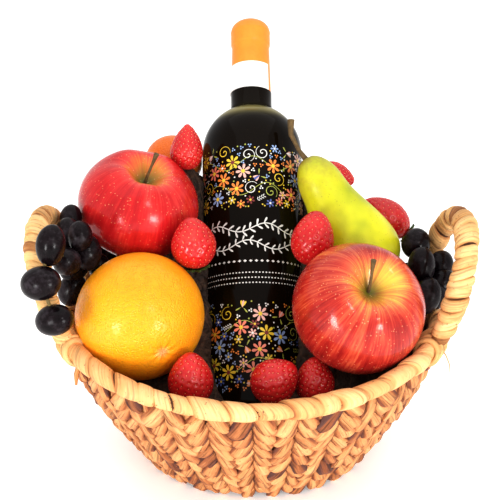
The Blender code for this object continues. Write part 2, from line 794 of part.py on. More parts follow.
def bed():
    """Crumpled packing paper that fills the basket and carries what lies in it."""
    rng = random.Random(7)
    step = 2 * math.pi / BED_SEGMENTS
    inner = -(WALL_THICK + BED_GAP)
    floor = FLOOR_THICK + BED_GAP
    edge = []
    for i in range(BED_SEGMENTS):
        point = wall_point(i * step, WALL_TOP, inner)
        edge.append(bed_height(point.x * 0.97, point.y * 0.97))
    rings = []
    for k in range(BED_SIDE_ROWS + 1):
        part = k / BED_SIDE_ROWS
        ring = []
        for i in range(BED_SEGMENTS):
            top = min(edge[i], WALL_TOP)
            ring.append(wall_point(i * step, floor + (top - floor) * part, inner))
        rings.append(ring)
    for part in (0.35, 0.75, 1.0):
        ring = []
        for i in range(BED_SEGMENTS):
            last = rings[BED_SIDE_ROWS][i]
            rise = max(edge[i] - last.z, 0.0)
            tall = min(rise / 0.02, 1.0)
            past_rim = max(0.0, last.z + rise * part - RIM_TOP_Z)
            grow = BED_BULGE * min(rise / 0.04, 1.0) * math.sin(part * math.pi * 0.72)
            grow *= min(past_rim / 0.012, 1.0)
            grow -= BED_SHOULDER * part * (1 - tall)
            grow -= BED_CRUMPLE * rng.random() * tall
            out = Vector((last.x, last.y, 0)).normalized()
            ring.append(last + out * grow + Vector((0, 0, rise * part)))
        rings.append(ring)
    brim = rings[-1]
    for k in range(1, BED_TOP_ROWS):
        shrink = 1 - k / BED_TOP_ROWS
        ring = []
        for i in range(BED_SEGMENTS):
            x = brim[i].x * shrink
            y = brim[i].y * shrink
            z = bed_height(x, y) + BED_CRUMPLE * rng.uniform(-1, 1)
            ring.append(Vector((x, y, z)))
        rings.append(ring)
    mesh = loft(rings, (0, 0, floor), (0, 0, bed_height(0, 0)))
    return add_object("packing", mesh, "paper", smooth=False)


def build():
    """Make every piece, then hollow the packing round what lies in it."""
    clear_scene()
    basket_body()
    basket_rim()
    handle("handle_left", -1)
    handle("handle_right", 1)
    add_object("bottle", bottle_mesh(), "glass_dark")
    capsule()
    neck_band()
    add_object("orange", citrus_mesh(ORANGE, 18, 10), "orange_peel")
    add_object("mandarin", citrus_mesh(MANDARIN, 14, 8), "mandarin_peel")
    apple("apple_left", APPLE_LEFT, APPLE_LEFT_STEM)
    apple("apple_right", APPLE_RIGHT, APPLE_RIGHT_STEM)
    pear()
    for index, spot in enumerate(STRAWBERRIES):
        strawberry(index, spot)
    grapes("grapes_left", GRAPES_LEFT)
    grapes("grapes_right", GRAPES_RIGHT)
    nested = [bottle_mesh(), citrus_mesh(ORANGE, 18, 10), citrus_mesh(MANDARIN, 14, 8)]
    nested += [apple_mesh(APPLE_LEFT), apple_mesh(APPLE_RIGHT), pear_mesh()]
    nested += [berry_mesh(spot) for spot in STRAWBERRIES]
    cut(bed(), [swollen(mesh, GAP) for mesh in nested])


build()
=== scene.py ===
"""Looks of a filled gift basket: woven wall, wrapped rim and handles, leaning bottle and fruit.

Every piece is in metres in the part's own frame: +Z up, the origin at the middle of the
foot, and the front of the basket towards -Y.
"""
import logging
import math
import random
from cmath import rect
from collections.abc import Callable, Sequence
from dataclasses import dataclass, field, replace
from enum import Enum

import bpy
import numpy as np
from mathutils import Matrix, Vector, kdtree, noise


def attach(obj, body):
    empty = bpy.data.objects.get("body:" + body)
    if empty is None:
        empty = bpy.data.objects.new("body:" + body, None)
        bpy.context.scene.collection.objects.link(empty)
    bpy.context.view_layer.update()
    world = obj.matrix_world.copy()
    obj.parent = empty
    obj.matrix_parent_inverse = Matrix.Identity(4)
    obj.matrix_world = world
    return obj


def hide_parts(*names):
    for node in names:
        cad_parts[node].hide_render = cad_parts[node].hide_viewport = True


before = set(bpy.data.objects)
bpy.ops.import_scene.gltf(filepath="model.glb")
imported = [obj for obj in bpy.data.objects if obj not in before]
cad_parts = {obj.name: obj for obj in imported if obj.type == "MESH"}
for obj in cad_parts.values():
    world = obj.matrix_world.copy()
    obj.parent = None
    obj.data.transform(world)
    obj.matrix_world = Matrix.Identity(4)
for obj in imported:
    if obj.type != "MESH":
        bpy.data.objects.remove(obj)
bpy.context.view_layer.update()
LOG = logging.getLogger("gift_basket")

Array = np.ndarray
Colour = tuple[float, float, float]
Material = bpy.types.Material
Piece = bpy.types.Object
Point = tuple[float, float, float]
Random = random.Random
Rule = Callable[[Array], Array]
Socket = bpy.types.NodeSocket


class Slot(Enum):
    """Material slots of the record."""

    STRAW = "straw"
    STRAW_PALE = "straw_pale"
    PAPER = "paper"
    GLASS = "glass_dark"
    CAPSULE = "capsule_orange"
    BAND = "band_white"
    ORANGE = "orange_peel"
    MANDARIN = "mandarin_peel"
    APPLE = "apple_skin"
    PEAR = "pear_skin"
    BERRY = "berry"
    GRAPE = "grape"


class Side(Enum):
    """The two sides of the basket, by the sign of X."""

    LEFT = -1
    RIGHT = 1


# Materials


@dataclass(frozen=True)
class Tone:
    """A colour of a ramp, in linear light, at its place from 0 to 1."""

    place: float
    colour: Colour


class Recipe:
    """Node tree of one material, added to step by step."""

    def __init__(self, name: str, roughness: float, coat: float = 0.0,
                 gloss: float = 0.5) -> None:
        """Start a Principled material.

        Args:
            name: Name of the material.
            roughness: Roughness of the whole surface.
            coat: Weight of the clear coat.
            gloss: Level of the plain reflection.
        """
        self.material = bpy.data.materials.new(name)
        self.material.use_nodes = True
        self.tree = self.material.node_tree
        self.shader = self.tree.nodes["Principled BSDF"]
        self.shader.inputs["Roughness"].default_value = roughness
        self.shader.inputs["Coat Weight"].default_value = coat
        self.shader.inputs["Coat Roughness"].default_value = 0.10
        self.shader.inputs["Specular IOR Level"].default_value = gloss

    def add(self, kind: str, *inputs: object, **settings: object) -> bpy.types.Node:
        """Add a node.

        Args:
            kind: Node type without its ShaderNode prefix.
            inputs: A socket to link, a value to set or None, for each input in order.
            settings: Properties of the node.

        Returns:
            The new node.
        """
        node = self.tree.nodes.new("ShaderNode" + kind)
        for key, value in settings.items():
            setattr(node, key, value)
        for index, value in enumerate(inputs):
            if isinstance(value, Socket):
                self.tree.links.new(value, node.inputs[index])
            elif value is not None:
                node.inputs[index].default_value = value
        return node

    def place(self) -> Socket:
        """Object coordinates of the surface."""
        return self.add("TexCoord").outputs["Object"]

    def attribute(self, name: str) -> Socket:
        """A vector kept on the piece's own points."""
        return self.add("Attribute", attribute_name=name).outputs["Vector"]

    def value(self, name: str) -> Socket:
        """A number kept on the piece's own points."""
        return self.add("Attribute", attribute_name=name).outputs["Fac"]

    def stretched(self, vector: Socket, scale: Point) -> Socket:
        """Coordinates scaled by an amount along each axis."""
        return self.add("Mapping", vector, None, None, scale).outputs[0]

    def noise(self, vector: Socket, scale: float, detail: float = 3.0,
              roughness: float = 0.55) -> Socket:
        """Soft noise from 0 to 1."""
        return self.add("TexNoise", vector, None, scale, detail, roughness).outputs[0]

    def cells(self, vector: Socket, scale: float,
              feature: str = "F1") -> Socket:
        """Distance within a pattern of cells."""
        return self.add("TexVoronoi", vector, None, scale, feature=feature).outputs["Distance"]

    def math(self, operation: str, first: object, second: object) -> Socket:
        """One step of arithmetic."""
        return self.add("Math", first, second, operation=operation).outputs[0]

    def total(self, *terms: tuple[Socket, float]) -> Socket:
        """Sum of values.

        Args:
            terms: Each value with its weight.

        Returns:
            The sum.
        """
        whole, *others = (self.math("MULTIPLY", value, weight) for value, weight in terms)
        for value in others:
            whole = self.math("ADD", whole, value)
        return whole

    def spread(self, value: Socket, low: float, high: float,
               to_low: float = 0.0, to_high: float = 1.0) -> Socket:
        """A value carried from one range to another and clamped."""
        return self.add("MapRange", value, low, high, to_low, to_high).outputs[0]

    def ramp(self, factor: Socket, tones: Sequence[Tone]) -> Socket:
        """Look a factor up along a ramp.

        Args:
            factor: Place on the ramp.
            tones: The ramp's colours.

        Returns:
            The colour.
        """
        node = self.add("ValToRGB", factor)
        elements = node.color_ramp.elements
        while len(elements) < len(tones):
            elements.new(0.5)
        for element, tone in zip(elements, sorted(tones, key=lambda tone: tone.place)):
            element.position = tone.place
            element.color = (*tone.colour, 1.0)
        return node.outputs["Color"]

    def mix(self, factor: object, below: object, above: object,
            mode: str = "MIX") -> Socket:
        """Blend two colours.

        Args:
            factor: Weight of the upper colour.
            below: Lower colour, as a socket or a value.
            above: Upper colour, as a socket or a value.
            mode: Way of blending.

        Returns:
            The blend.
        """
        node = self.add("Mix", factor, data_type="RGBA", blend_type=mode)
        for name, value in (("A_Color", below), ("B_Color", above)):
            socket = next(s for s in node.inputs if s.identifier == name)
            if isinstance(value, Socket):
                self.tree.links.new(value, socket)
            else:
                socket.default_value = (*value, 1.0)
        return next(s for s in node.outputs if s.identifier == "Result_Color")

    def bump(self, height: Socket, depth: float) -> None:
        """Add relief over the relief that is there.

        Args:
            height: Height from 0 to 1.
            depth: Depth of the relief in metres.
        """
        node = self.add("Bump")
        node.inputs["Strength"].default_value = 1.0
        node.inputs["Distance"].default_value = depth
        self.tree.links.new(height, node.inputs["Height"])
        before = self.shader.inputs["Normal"]
        if before.is_linked:
            self.tree.links.new(before.links[0].from_socket, node.inputs["Normal"])
        self.tree.links.new(node.outputs["Normal"], before)

    def paint(self, colour: Socket) -> None:
        """Use a colour as the base colour."""
        self.tree.links.new(colour, self.shader.inputs["Base Color"])

    def polish(self, value: Socket) -> None:
        """Use a value as the roughness."""
        self.tree.links.new(value, self.shader.inputs["Roughness"])

    def glow_through(self, weight: float, depth: float, radius: Colour) -> None:
        """Let light scatter under the surface, as in fruit."""
        self.shader.inputs["Subsurface Weight"].default_value = weight
        self.shader.inputs["Subsurface Scale"].default_value = depth
        self.shader.inputs["Subsurface Radius"].default_value = radius


@dataclass(frozen=True)
class Finish:
    """A material with its name and its ramp of colours."""

    name: str
    tones: tuple[Tone, ...]


@dataclass(frozen=True)
class StrawFinish(Finish):
    """Dry plaited leaf: fibres along each strand, a tint for each strand, dark freckles."""

    fibre: float = 0.0008
    relief: float = 0.0008
    roughness: float = 0.58
    line: float = 0.55
    middle: float = 0.54
    freckle: Colour = (0.16, 0.07, 0.035)

    def build(self) -> Material:
        """Make the material."""
        recipe = Recipe(self.name, self.roughness, gloss=0.25)
        grain = recipe.attribute("grain")
        fibres = recipe.noise(recipe.stretched(grain, (90, 1 / self.fibre, 1)), 1.0, 4.0, 0.6)
        creases = recipe.noise(recipe.stretched(grain, (60, 420, 1)), 1.0, 2.0)
        patches = recipe.noise(recipe.place(), 70.0, 2.0)
        # The tint is each strand's own tone plus painted shade on leaf edges, wrap seams, the
        # handles' far halves, inner leaves and under-rim leaves.
        shade = recipe.total((fibres, 0.45), (creases, 0.40), (patches, 0.40),
                             (recipe.value("tint"), 1.0))
        colour = recipe.ramp(recipe.math("SUBTRACT", shade, self.middle), self.tones)
        lines = recipe.noise(recipe.stretched(grain, (45, 0.7 / self.fibre, 1)), 1.0, 1.0)
        lines = recipe.spread(lines, 0.33, 0.44, self.line, 1.0)
        colour = recipe.mix(1.0, colour, lines, "MULTIPLY")
        freckles = recipe.spread(recipe.noise(recipe.place(), 520.0, 2.0), 0.66, 0.76)
        recipe.paint(recipe.mix(freckles, colour, self.freckle))
        recipe.bump(creases, self.relief * 1.4)
        recipe.bump(fibres, self.relief)
        return recipe.material


@dataclass(frozen=True)
class PeelFinish(Finish):
    """Waxy pitted peel of a citrus fruit."""

    pores: float = 720.0
    depth: float = 0.00035
    scar: Colour = (0.78, 0.42, 0.20)

    def build(self) -> Material:
        """Make the material."""
        recipe = Recipe(self.name, 0.33, coat=0.08, gloss=0.35)
        place = recipe.place()
        soft = recipe.noise(place, 32.0, 3.0)
        fine = recipe.noise(place, 210.0, 2.0)
        colour = recipe.ramp(recipe.total((soft, 0.75), (fine, 0.25)), self.tones)
        recipe.paint(recipe.mix(recipe.value("scar"), colour, self.scar))
        pits = recipe.spread(recipe.cells(place, self.pores), 0.0, 0.55)
        recipe.bump(pits, self.depth)
        recipe.bump(recipe.noise(place, 110.0, 3.0), 0.0002)
        recipe.glow_through(0.12, 0.004, (1.0, 0.45, 0.12))
        return recipe.material


@dataclass(frozen=True)
class AppleFinish(Finish):
    """Polished apple skin: streaks from stem to base over a paler ground, pale lenticels."""

    streaks: float
    ground: float
    mottle: float = 0.55
    shaded_pit: Colour = (0.085, 0.11, 0.012)
    lenticel: Colour = (0.88, 0.50, 0.25)

    def build(self) -> Material:
        """Make the material."""
        recipe = Recipe(self.name, 0.22, coat=0.22, gloss=0.25)
        skin = recipe.attribute("skin")
        place = recipe.place()
        wide = recipe.noise(recipe.stretched(skin, (5.5, 5.5, 1.3)), 1.0, 4.0, 0.6)
        thin = recipe.noise(recipe.stretched(skin, (24.0, 24.0, 2.4)), 1.0, 3.0, 0.6)
        cloud = recipe.noise(place, 34.0, 5.0)
        shade = recipe.total((wide, self.streaks), (thin, self.streaks), (cloud, self.mottle),
                             (recipe.value("blush"), 1.0))
        colour = recipe.ramp(recipe.math("SUBTRACT", shade, self.ground), self.tones)
        # Stem cavity painted dark olive: partly the cavity's own green, partly painted shade in the
        # hollow.
        colour = recipe.mix(recipe.value("shaded_pit"), colour, self.shaded_pit)
        dots = recipe.spread(recipe.cells(place, 430.0), 0.21, 0.09)
        dots = recipe.math("MULTIPLY", dots, recipe.spread(recipe.noise(place, 60.0), 0.34, 0.56))
        recipe.paint(recipe.mix(recipe.math("MULTIPLY", dots, 0.55), colour, self.lenticel))
        recipe.bump(cloud, 0.0009)
        recipe.bump(thin, 0.00012)
        recipe.glow_through(0.06, 0.003, (1.0, 0.3, 0.15))
        return recipe.material


@dataclass(frozen=True)
class PearFinish(Finish):
    """Satin pear skin with brown freckles and a little russet at the stem."""

    green: Colour = (0.36, 0.38, 0.025)
    russet: Colour = (0.26, 0.16, 0.04)
    freckle: Colour = (0.22, 0.17, 0.03)

    def build(self) -> Material:
        """Make the material."""
        recipe = Recipe(self.name, 0.34, coat=0.06, gloss=0.35)
        place = recipe.place()
        soft = recipe.noise(place, 24.0, 3.0)
        colour = recipe.ramp(soft, self.tones)
        scar = recipe.value("scar")
        patches = recipe.spread(recipe.noise(place, 150.0, 3.0), 0.35, 0.65)
        colour = recipe.mix(scar, colour, self.green)
        colour = recipe.mix(recipe.math("MULTIPLY", scar, patches), colour, self.russet)
        dots = recipe.spread(recipe.cells(place, 420.0), 0.19, 0.09)
        dots = recipe.math("MULTIPLY", dots, recipe.spread(recipe.noise(place, 45.0), 0.42, 0.62))
        recipe.paint(recipe.mix(recipe.math("MULTIPLY", dots, 0.7), colour, self.freckle))
        recipe.bump(soft, 0.0012)
        recipe.bump(recipe.noise(place, 400.0, 2.0), 0.00015)
        recipe.glow_through(0.10, 0.004, (1.0, 0.8, 0.2))
        return recipe.material


@dataclass(frozen=True)
class SkinFinish(Finish):
    """Soft-hued skin or surface: two scales of noise in colour and relief."""

    roughness: float = 0.4
    coat: float = 0.0
    gloss: float = 0.4
    scale: float = 90.0
    relief: float = 0.0003
    scatter: float = 0.0
    rough_range: float = 0.0

    def build(self) -> Material:
        """Make the material."""
        recipe = Recipe(self.name, self.roughness, self.coat, self.gloss)
        place = recipe.place()
        soft = recipe.noise(place, self.scale, 4.0)
        fine = recipe.noise(place, self.scale * 6, 2.0)
        shade = recipe.total((soft, 0.7), (fine, 0.3))
        recipe.paint(recipe.ramp(shade, self.tones))
        if self.rough_range:
            low = self.roughness - self.rough_range
            recipe.polish(recipe.spread(soft, 0.35, 0.65, low, self.roughness + self.rough_range))
        recipe.bump(shade, self.relief)
        if self.scatter:
            recipe.glow_through(self.scatter, 0.003, (1.0, 0.25, 0.15))
        return recipe.material


@dataclass(frozen=True)
class GlassFinish:
    """Very dark bottle glass, with a painted olive glow on the front of the shoulder."""

    name: str
    dark: Colour
    olive: Colour

    def build(self) -> Material:
        """Make the material."""
        recipe = Recipe(self.name, 0.07, gloss=0.11)
        smear = recipe.noise(recipe.place(), 38.0, 3.0)
        # Painted highlight: the thin attribute lights the colour olive on the shoulder's front.
        glow = recipe.math("MULTIPLY", recipe.value("thin"),
                           recipe.spread(smear, 0.25, 0.75, 0.6, 1.0))
        recipe.paint(recipe.mix(glow, self.dark, self.olive))
        recipe.polish(recipe.spread(smear, 0.3, 0.7, 0.05, 0.12))
        recipe.bump(recipe.noise(recipe.place(), 30.0, 1.0), 0.00002)
        return recipe.material


@dataclass(frozen=True)
class CrumpleFinish(Finish):
    """Crumpled tissue: sharp facets with paler folds."""

    def build(self) -> Material:
        """Make the material."""
        recipe = Recipe(self.name, 0.80)
        place = recipe.place()
        folds = recipe.cells(place, 85.0, "DISTANCE_TO_EDGE")
        small = recipe.cells(place, 210.0, "DISTANCE_TO_EDGE")
        cloud = recipe.noise(place, 40.0, 3.0)
        shade = recipe.math("ADD", recipe.math("MULTIPLY", cloud, 0.7),
                            recipe.spread(folds, 0.0, 0.10, 0.25, 0.0))
        recipe.paint(recipe.ramp(shade, self.tones))
        recipe.bump(recipe.spread(folds, 0.0, 0.5), 0.0030)
        recipe.bump(recipe.spread(small, 0.0, 0.4), 0.0010)
        return recipe.material


def tones(*colours: Colour, low: float = 0.25, high: float = 0.75) -> tuple[Tone, ...]:
    """Evenly spaced tones between two places of a ramp.

    Args:
        colours: Colours in order, in linear light.
        low: Place of the first.
        high: Place of the last.

    Returns:
        One tone for each colour.
    """
    step = (high - low) / max(len(colours) - 1, 1)
    return tuple(Tone(low + step * index, colour) for index, colour in enumerate(colours))


LEAF_TONES = (
    Tone(0.00, (0.84, 0.46, 0.21)),
    Tone(0.22, (0.71, 0.34, 0.140)),
    Tone(0.45, (0.52, 0.21, 0.080)),
    Tone(0.66, (0.33, 0.11, 0.042)),
    Tone(0.85, (0.20, 0.070, 0.042)),
    Tone(1.00, (0.12, 0.05, 0.040)),
)
WRAP_TONES = (
    Tone(0.00, (0.90, 0.56, 0.27)),
    Tone(0.30, (0.76, 0.40, 0.160)),
    Tone(0.60, (0.50, 0.21, 0.070)),
    Tone(0.85, (0.26, 0.09, 0.040)),
    Tone(1.00, (0.13, 0.05, 0.028)),
)
ROPE_TONES = (
    Tone(0.00, (0.88, 0.60, 0.29)),
    Tone(0.30, (0.72, 0.42, 0.17)),
    Tone(0.60, (0.42, 0.18, 0.06)),
    Tone(1.00, (0.12, 0.045, 0.025)),
)


class Palette:
    """Every finish of the basket, built once."""

    def __init__(self) -> None:
        """Build the materials."""
        self.leaf = StrawFinish("woven_leaf", LEAF_TONES).build()
        self.wrap = StrawFinish("wrapped_strand", WRAP_TONES, fibre=0.0011, relief=0.0004,
                                line=0.70).build()
        self.rope = StrawFinish("handle_strand", ROPE_TONES, fibre=0.0009, relief=0.0005,
                                line=0.66).build()
        # Painted shade: the core under the leaves, wraps and coil is dark where it shows in their
        # gaps.
        self.core = SkinFinish("shaded_straw", tones((0.045, 0.016, 0.007), (0.12, 0.045, 0.016)),
                               0.9, scale=160.0, relief=0.0006).build()
        # Tissue partly its own brown, partly darkened as painted shade so that the gaps between the
        # fruit read dark.
        self.paper = CrumpleFinish("brown_tissue_darkened_as_shade", tones((0.026, 0.013, 0.008),
                                                         (0.110, 0.056, 0.030))).build()
        # The second colour is the painted olive glow on the front of the bottle's shoulder.
        self.glass = GlassFinish("bottle_glass", (0.0055, 0.0030, 0.0014),
                                 (0.26, 0.22, 0.08)).build()
        self.capsule = SkinFinish("capsule_foil", tones((0.86, 0.24, 0.020), (0.94, 0.31, 0.034)),
                                  0.36, coat=0.05, scale=60.0, relief=0.00015).build()
        self.band = SkinFinish("band_paper", tones((0.80, 0.79, 0.76), (0.90, 0.89, 0.87)),
                               0.55, scale=180.0, relief=0.00006).build()
        self.orange = PeelFinish("orange_peel", tones((1.00, 0.33, 0.006), (1.00, 0.40, 0.014),
                                                      (1.00, 0.46, 0.026))).build()
        self.mandarin = PeelFinish("mandarin_peel", tones((0.84, 0.17, 0.010), (0.94, 0.24, 0.020)),
                                   pores=900.0).build()
        self.apple_dark = AppleFinish("crimson_apple", (
            Tone(0.04, (0.34, 0.004, 0.009)),
            Tone(0.32, (0.54, 0.016, 0.018)),
            Tone(0.54, (0.72, 0.060, 0.046)),
            Tone(0.74, (0.74, 0.20, 0.05)),
            Tone(0.95, (0.60, 0.36, 0.05)),
        ), streaks=0.42, ground=0.37).build()
        self.apple_striped = AppleFinish("striped_apple", (
            Tone(0.06, (0.26, 0.010, 0.010)),
            Tone(0.30, (0.44, 0.030, 0.020)),
            Tone(0.52, (0.62, 0.115, 0.052)),
            Tone(0.72, (0.76, 0.29, 0.07)),
            Tone(0.94, (0.82, 0.52, 0.08)),
        ), streaks=0.66, ground=0.65).build()
        self.pear = PearFinish("pear_skin", tones((0.38, 0.42, 0.010), (0.62, 0.61, 0.016),
                                                  (0.84, 0.78, 0.035), low=0.3, high=0.68)).build()
        self.stem = SkinFinish("woody_stem", tones((0.05, 0.030, 0.014), (0.22, 0.14, 0.05)),
                               0.7, scale=400.0, relief=0.0003).build()
        self.berry = SkinFinish("berry_flesh", tones((0.42, 0.005, 0.009), (0.56, 0.018, 0.019),
                                                     (0.66, 0.055, 0.042)),
                                0.24, coat=0.20, scale=75.0, relief=0.0004, scatter=0.12).build()
        self.seed = SkinFinish("berry_seed", tones((0.82, 0.28, 0.12), (0.92, 0.44, 0.24)),
                               0.4, scale=900.0, relief=0.0001).build()
        self.sepal = SkinFinish("berry_leaf", tones((0.02, 0.045, 0.008), (0.07, 0.12, 0.02)),
                                0.5, scale=300.0, relief=0.0003).build()
        self.grape = SkinFinish("grape_skin", tones((0.003, 0.0018, 0.0024),
                                                    (0.010, 0.0055, 0.0070),
                                                    (0.052, 0.042, 0.050), low=0.32, high=0.68),
                                0.28, gloss=0.16, scale=85.0, relief=0.0002,
                                rough_range=0.14).build()
        self.stalk = SkinFinish("grape_stalk", tones((0.10, 0.06, 0.02), (0.26, 0.19, 0.06)),
                                0.6, scale=500.0, relief=0.0004).build()


# Shapes


def start() -> None:
    """Leave edit mode and deselect everything."""
    if bpy.context.mode != "OBJECT":
        bpy.ops.object.mode_set(mode="OBJECT")
    bpy.ops.object.select_all(action="DESELECT")


def coordinates(obj: Piece) -> Array:
    """Points of a mesh as rows of x, y and z."""
    values = np.empty(len(obj.data.vertices) * 3)
    obj.data.vertices.foreach_get("co", values)
    return values.reshape(-1, 3)


def reshape(obj: Piece, rule: Rule) -> None:
    """Move every point of a mesh.

    Args:
        obj: The piece.
        rule: Gives the new points from the old ones.
    """
    obj.data.vertices.foreach_set("co", rule(coordinates(obj)).ravel())
    obj.data.update()


def keep(obj: Piece, name: str, values: Array) -> None:
    """Keep a value or a vector on every point, for the material to read.

    Args:
        obj: The piece.
        name: Name of the attribute.
        values: One number or one row of three numbers for each point.
    """
    vector = values.ndim == 2
    made = obj.data.attributes.new(name, "FLOAT_VECTOR" if vector else "FLOAT", "POINT")
    made.data.foreach_set("vector" if vector else "value", values.astype(np.float32).ravel())


def keep_grain(obj: Piece, across: Array, along: Array,
               shift: float = 0.0) -> None:
    """Keep the directions of a strand's fibres on every point.

    Args:
        obj: The piece.
        across: Distance of each point across the fibres' pattern.
        along: Distance of each point along it.
        shift: Shift of the pattern, so that no two strands look alike.
    """
    depth = np.full(len(along), shift)
    keep(obj, "grain", np.stack([across + shift, along + shift, depth], axis=1))


def activate(obj: Piece) -> None:
    """Make a piece the active one and the only one selected."""
    start()
    bpy.context.view_layer.objects.active = obj
    obj.select_set(True)


def thicken(obj: Piece, thickness: float, offset: float = -1.0) -> None:
    """Make a closed solid of a sheet.

    Args:
        obj: The sheet.
        thickness: Thickness in metres.
        offset: 1 to grow along its normals, -1 against them.
    """
    activate(obj)
    sheet = obj.modifiers.new("sheet", "SOLIDIFY")
    sheet.thickness = thickness
    sheet.offset = offset
    bpy.ops.object.modifier_apply(modifier=sheet.name)


def close_up(obj: Piece, distance: float = 1e-6) -> None:
    """Merge doubled points and turn every face outwards.

    Args:
        obj: The piece.
        distance: Points nearer than this become one.
    """
    activate(obj)
    bpy.ops.object.mode_set(mode="EDIT")
    bpy.ops.mesh.select_all(action="SELECT")
    bpy.ops.mesh.remove_doubles(threshold=distance)
    bpy.ops.mesh.normals_make_consistent(inside=False)
    bpy.ops.object.mode_set(mode="OBJECT")


def globe(name: str, segments: int, rings: int) -> Piece:
    """Unit ball with its poles on Z, to be shaped."""
    start()
    bpy.ops.mesh.primitive_uv_sphere_add(segments=segments, ring_count=rings, radius=1.0)
    bpy.context.object.name = name
    return bpy.context.object


def strip(name: str, columns: int, rows: int) -> Piece:
    """Flat grid from -1 to 1 in X and Y, to be shaped."""
    start()
    bpy.ops.mesh.primitive_grid_add(x_subdivisions=columns, y_subdivisions=rows, size=2.0)
    bpy.context.object.name = name
    return bpy.context.object


def hoop(name: str, radius: float, thick: float, around: int, tube: int) -> Piece:
    """Round ring about Z, to be shaped."""
    start()
    bpy.ops.mesh.primitive_torus_add(major_segments=around, minor_segments=tube,
                                     major_radius=radius, minor_radius=thick)
    bpy.context.object.name = name
    return bpy.context.object


def turned(name: str, profile: Sequence[tuple[float, float]], segments: int) -> Piece:
    """Body turned about Z, drawn up ring by ring from a disc.

    Args:
        name: Name of the piece.
        profile: Radius and height of each ring.
        segments: Number of sides.

    Returns:
        The closed body.
    """
    start()
    radius, height = profile[0]
    bpy.ops.mesh.primitive_circle_add(vertices=segments, radius=radius, fill_type="NGON",
                                      location=(0, 0, height))
    obj = bpy.context.object
    obj.name = name
    bpy.ops.object.transform_apply()
    bpy.ops.object.mode_set(mode="EDIT")
    bpy.ops.mesh.select_all(action="SELECT")
    for ring_radius, ring_height in profile[1:]:
        rise = {"value": (0, 0, ring_height - height)}
        bpy.ops.mesh.extrude_region_move(TRANSFORM_OT_translate=rise)
        bpy.ops.transform.resize(value=(ring_radius / radius, ring_radius / radius, 1))
        radius, height = ring_radius, ring_height
    bpy.ops.mesh.select_all(action="SELECT")
    bpy.ops.mesh.normals_make_consistent(inside=False)
    bpy.ops.object.mode_set(mode="OBJECT")
    return obj


def copy_of(source: Piece, name: str) -> Piece:
    """Copy of a piece with its own mesh."""
    obj = bpy.data.objects.new(name, source.data.copy())
    bpy.context.scene.collection.objects.link(obj)
    return obj


def drop(*objects: Piece) -> None:
    """Remove the models that copies were made from."""
    for obj in objects:
        bpy.data.objects.remove(obj, do_unlink=True)


def join(name: str, parts: Sequence[Piece]) -> Piece:
    """Make one piece of several.

    Args:
        name: Name of the piece.
        parts: The pieces, which end up in the first.

    Returns:
        The joined piece.
    """
    start()
    for part in parts:
        part.select_set(True)
    bpy.context.view_layer.objects.active = parts[0]
    if len(parts) > 1:
        bpy.ops.object.join()
    parts[0].name = name
    return parts[0]


def dress(obj: Piece, material: Material,
          stands_for: Sequence[str] = (), crease: float = 60.0) -> Piece:
    """Give a finished piece its material, its shading and its place in the part.

    Args:
        obj: The piece.
        material: Its material.
        stands_for: CAD nodes that the piece stands for.
        crease: Angle in degrees above which an edge stays sharp.

    Returns:
        The same piece.
    """
    obj.data.materials.clear()
    obj.data.materials.append(material)
    activate(obj)
    bpy.ops.object.shade_smooth_by_angle(angle=math.radians(crease))
    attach(obj, "root")
    if stands_for:
        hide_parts(*stands_for)
    LOG.info("%s: %d faces", obj.name, len(obj.data.polygons))
    return obj


def unit(vectors: Array) -> Array:
    """Rows brought to length one."""
    return vectors / np.maximum(np.linalg.norm(vectors, axis=-1, keepdims=True), 1e-12)


def lumps(points: Array, size: float, seed: float) -> Array:
    """Soft noise from -1 to 1 for each point.

    Args:
        points: Rows of x, y and z.
        size: Size of a lump in metres.
        seed: Shift of the pattern.

    Returns:
        One number for each row.
    """
    shift = Vector((seed, seed * 0.7, -seed))
    return np.array([noise.noise(Vector(point) / size + shift) for point in points])


def facing(across: Vector, along: Vector, out: Vector, centre: Vector) -> Matrix:
    """Matrix with its axes and its origin given."""
    turn = Matrix((across, along, out)).transposed().to_4x4()
    return Matrix.Translation(centre) @ turn


@dataclass
class Path:
    """A line through space with a cross direction and an up direction at each point."""

    points: Array
    sides: Array
    ups: Array
    closed: bool = False
    reach: Array = field(init=False)

    def __post_init__(self) -> None:
        """Measure the distance along the line."""
        steps = np.linalg.norm(np.diff(self.points, axis=0), axis=1)
        self.reach = np.concatenate([[0.0], np.cumsum(steps)])

    @property
    def length(self) -> float:
        """Length of the whole line."""
        return float(self.reach[-1])

    def at(self, distance: Array) -> tuple[Array, Array, Array]:
        """Look places up along the line.

        Args:
            distance: Distances from its start.

        Returns:
            Centre, cross direction and up direction at each distance.
        """
        if self.closed:
            distance = np.mod(distance, self.length)
        found = [
            np.stack([np.interp(distance, self.reach, rows[:, axis]) for axis in range(3)], axis=1)
            for rows in (self.points, self.sides, self.ups)
        ]
        return found[0], unit(found[1]), unit(found[2])

    @classmethod
    def free(cls, points: Sequence[Sequence[float]]) -> "Path":
        """Draw a line through a few points.

        Args:
            points: The points in order.

        Returns:
            The line, with any steady cross direction.
        """
        rows = np.array([tuple(point) for point in points], dtype=float)
        tangents = unit(np.gradient(rows, axis=0))
        upright = abs(tangents[0][2]) >= 0.8
        guide = np.array([0.0, 1.0, 0.0] if upright else [0.0, 0.0, 1.0])
        sides = unit(np.cross(tangents, guide))
        return cls(rows, sides, np.cross(sides, tangents))


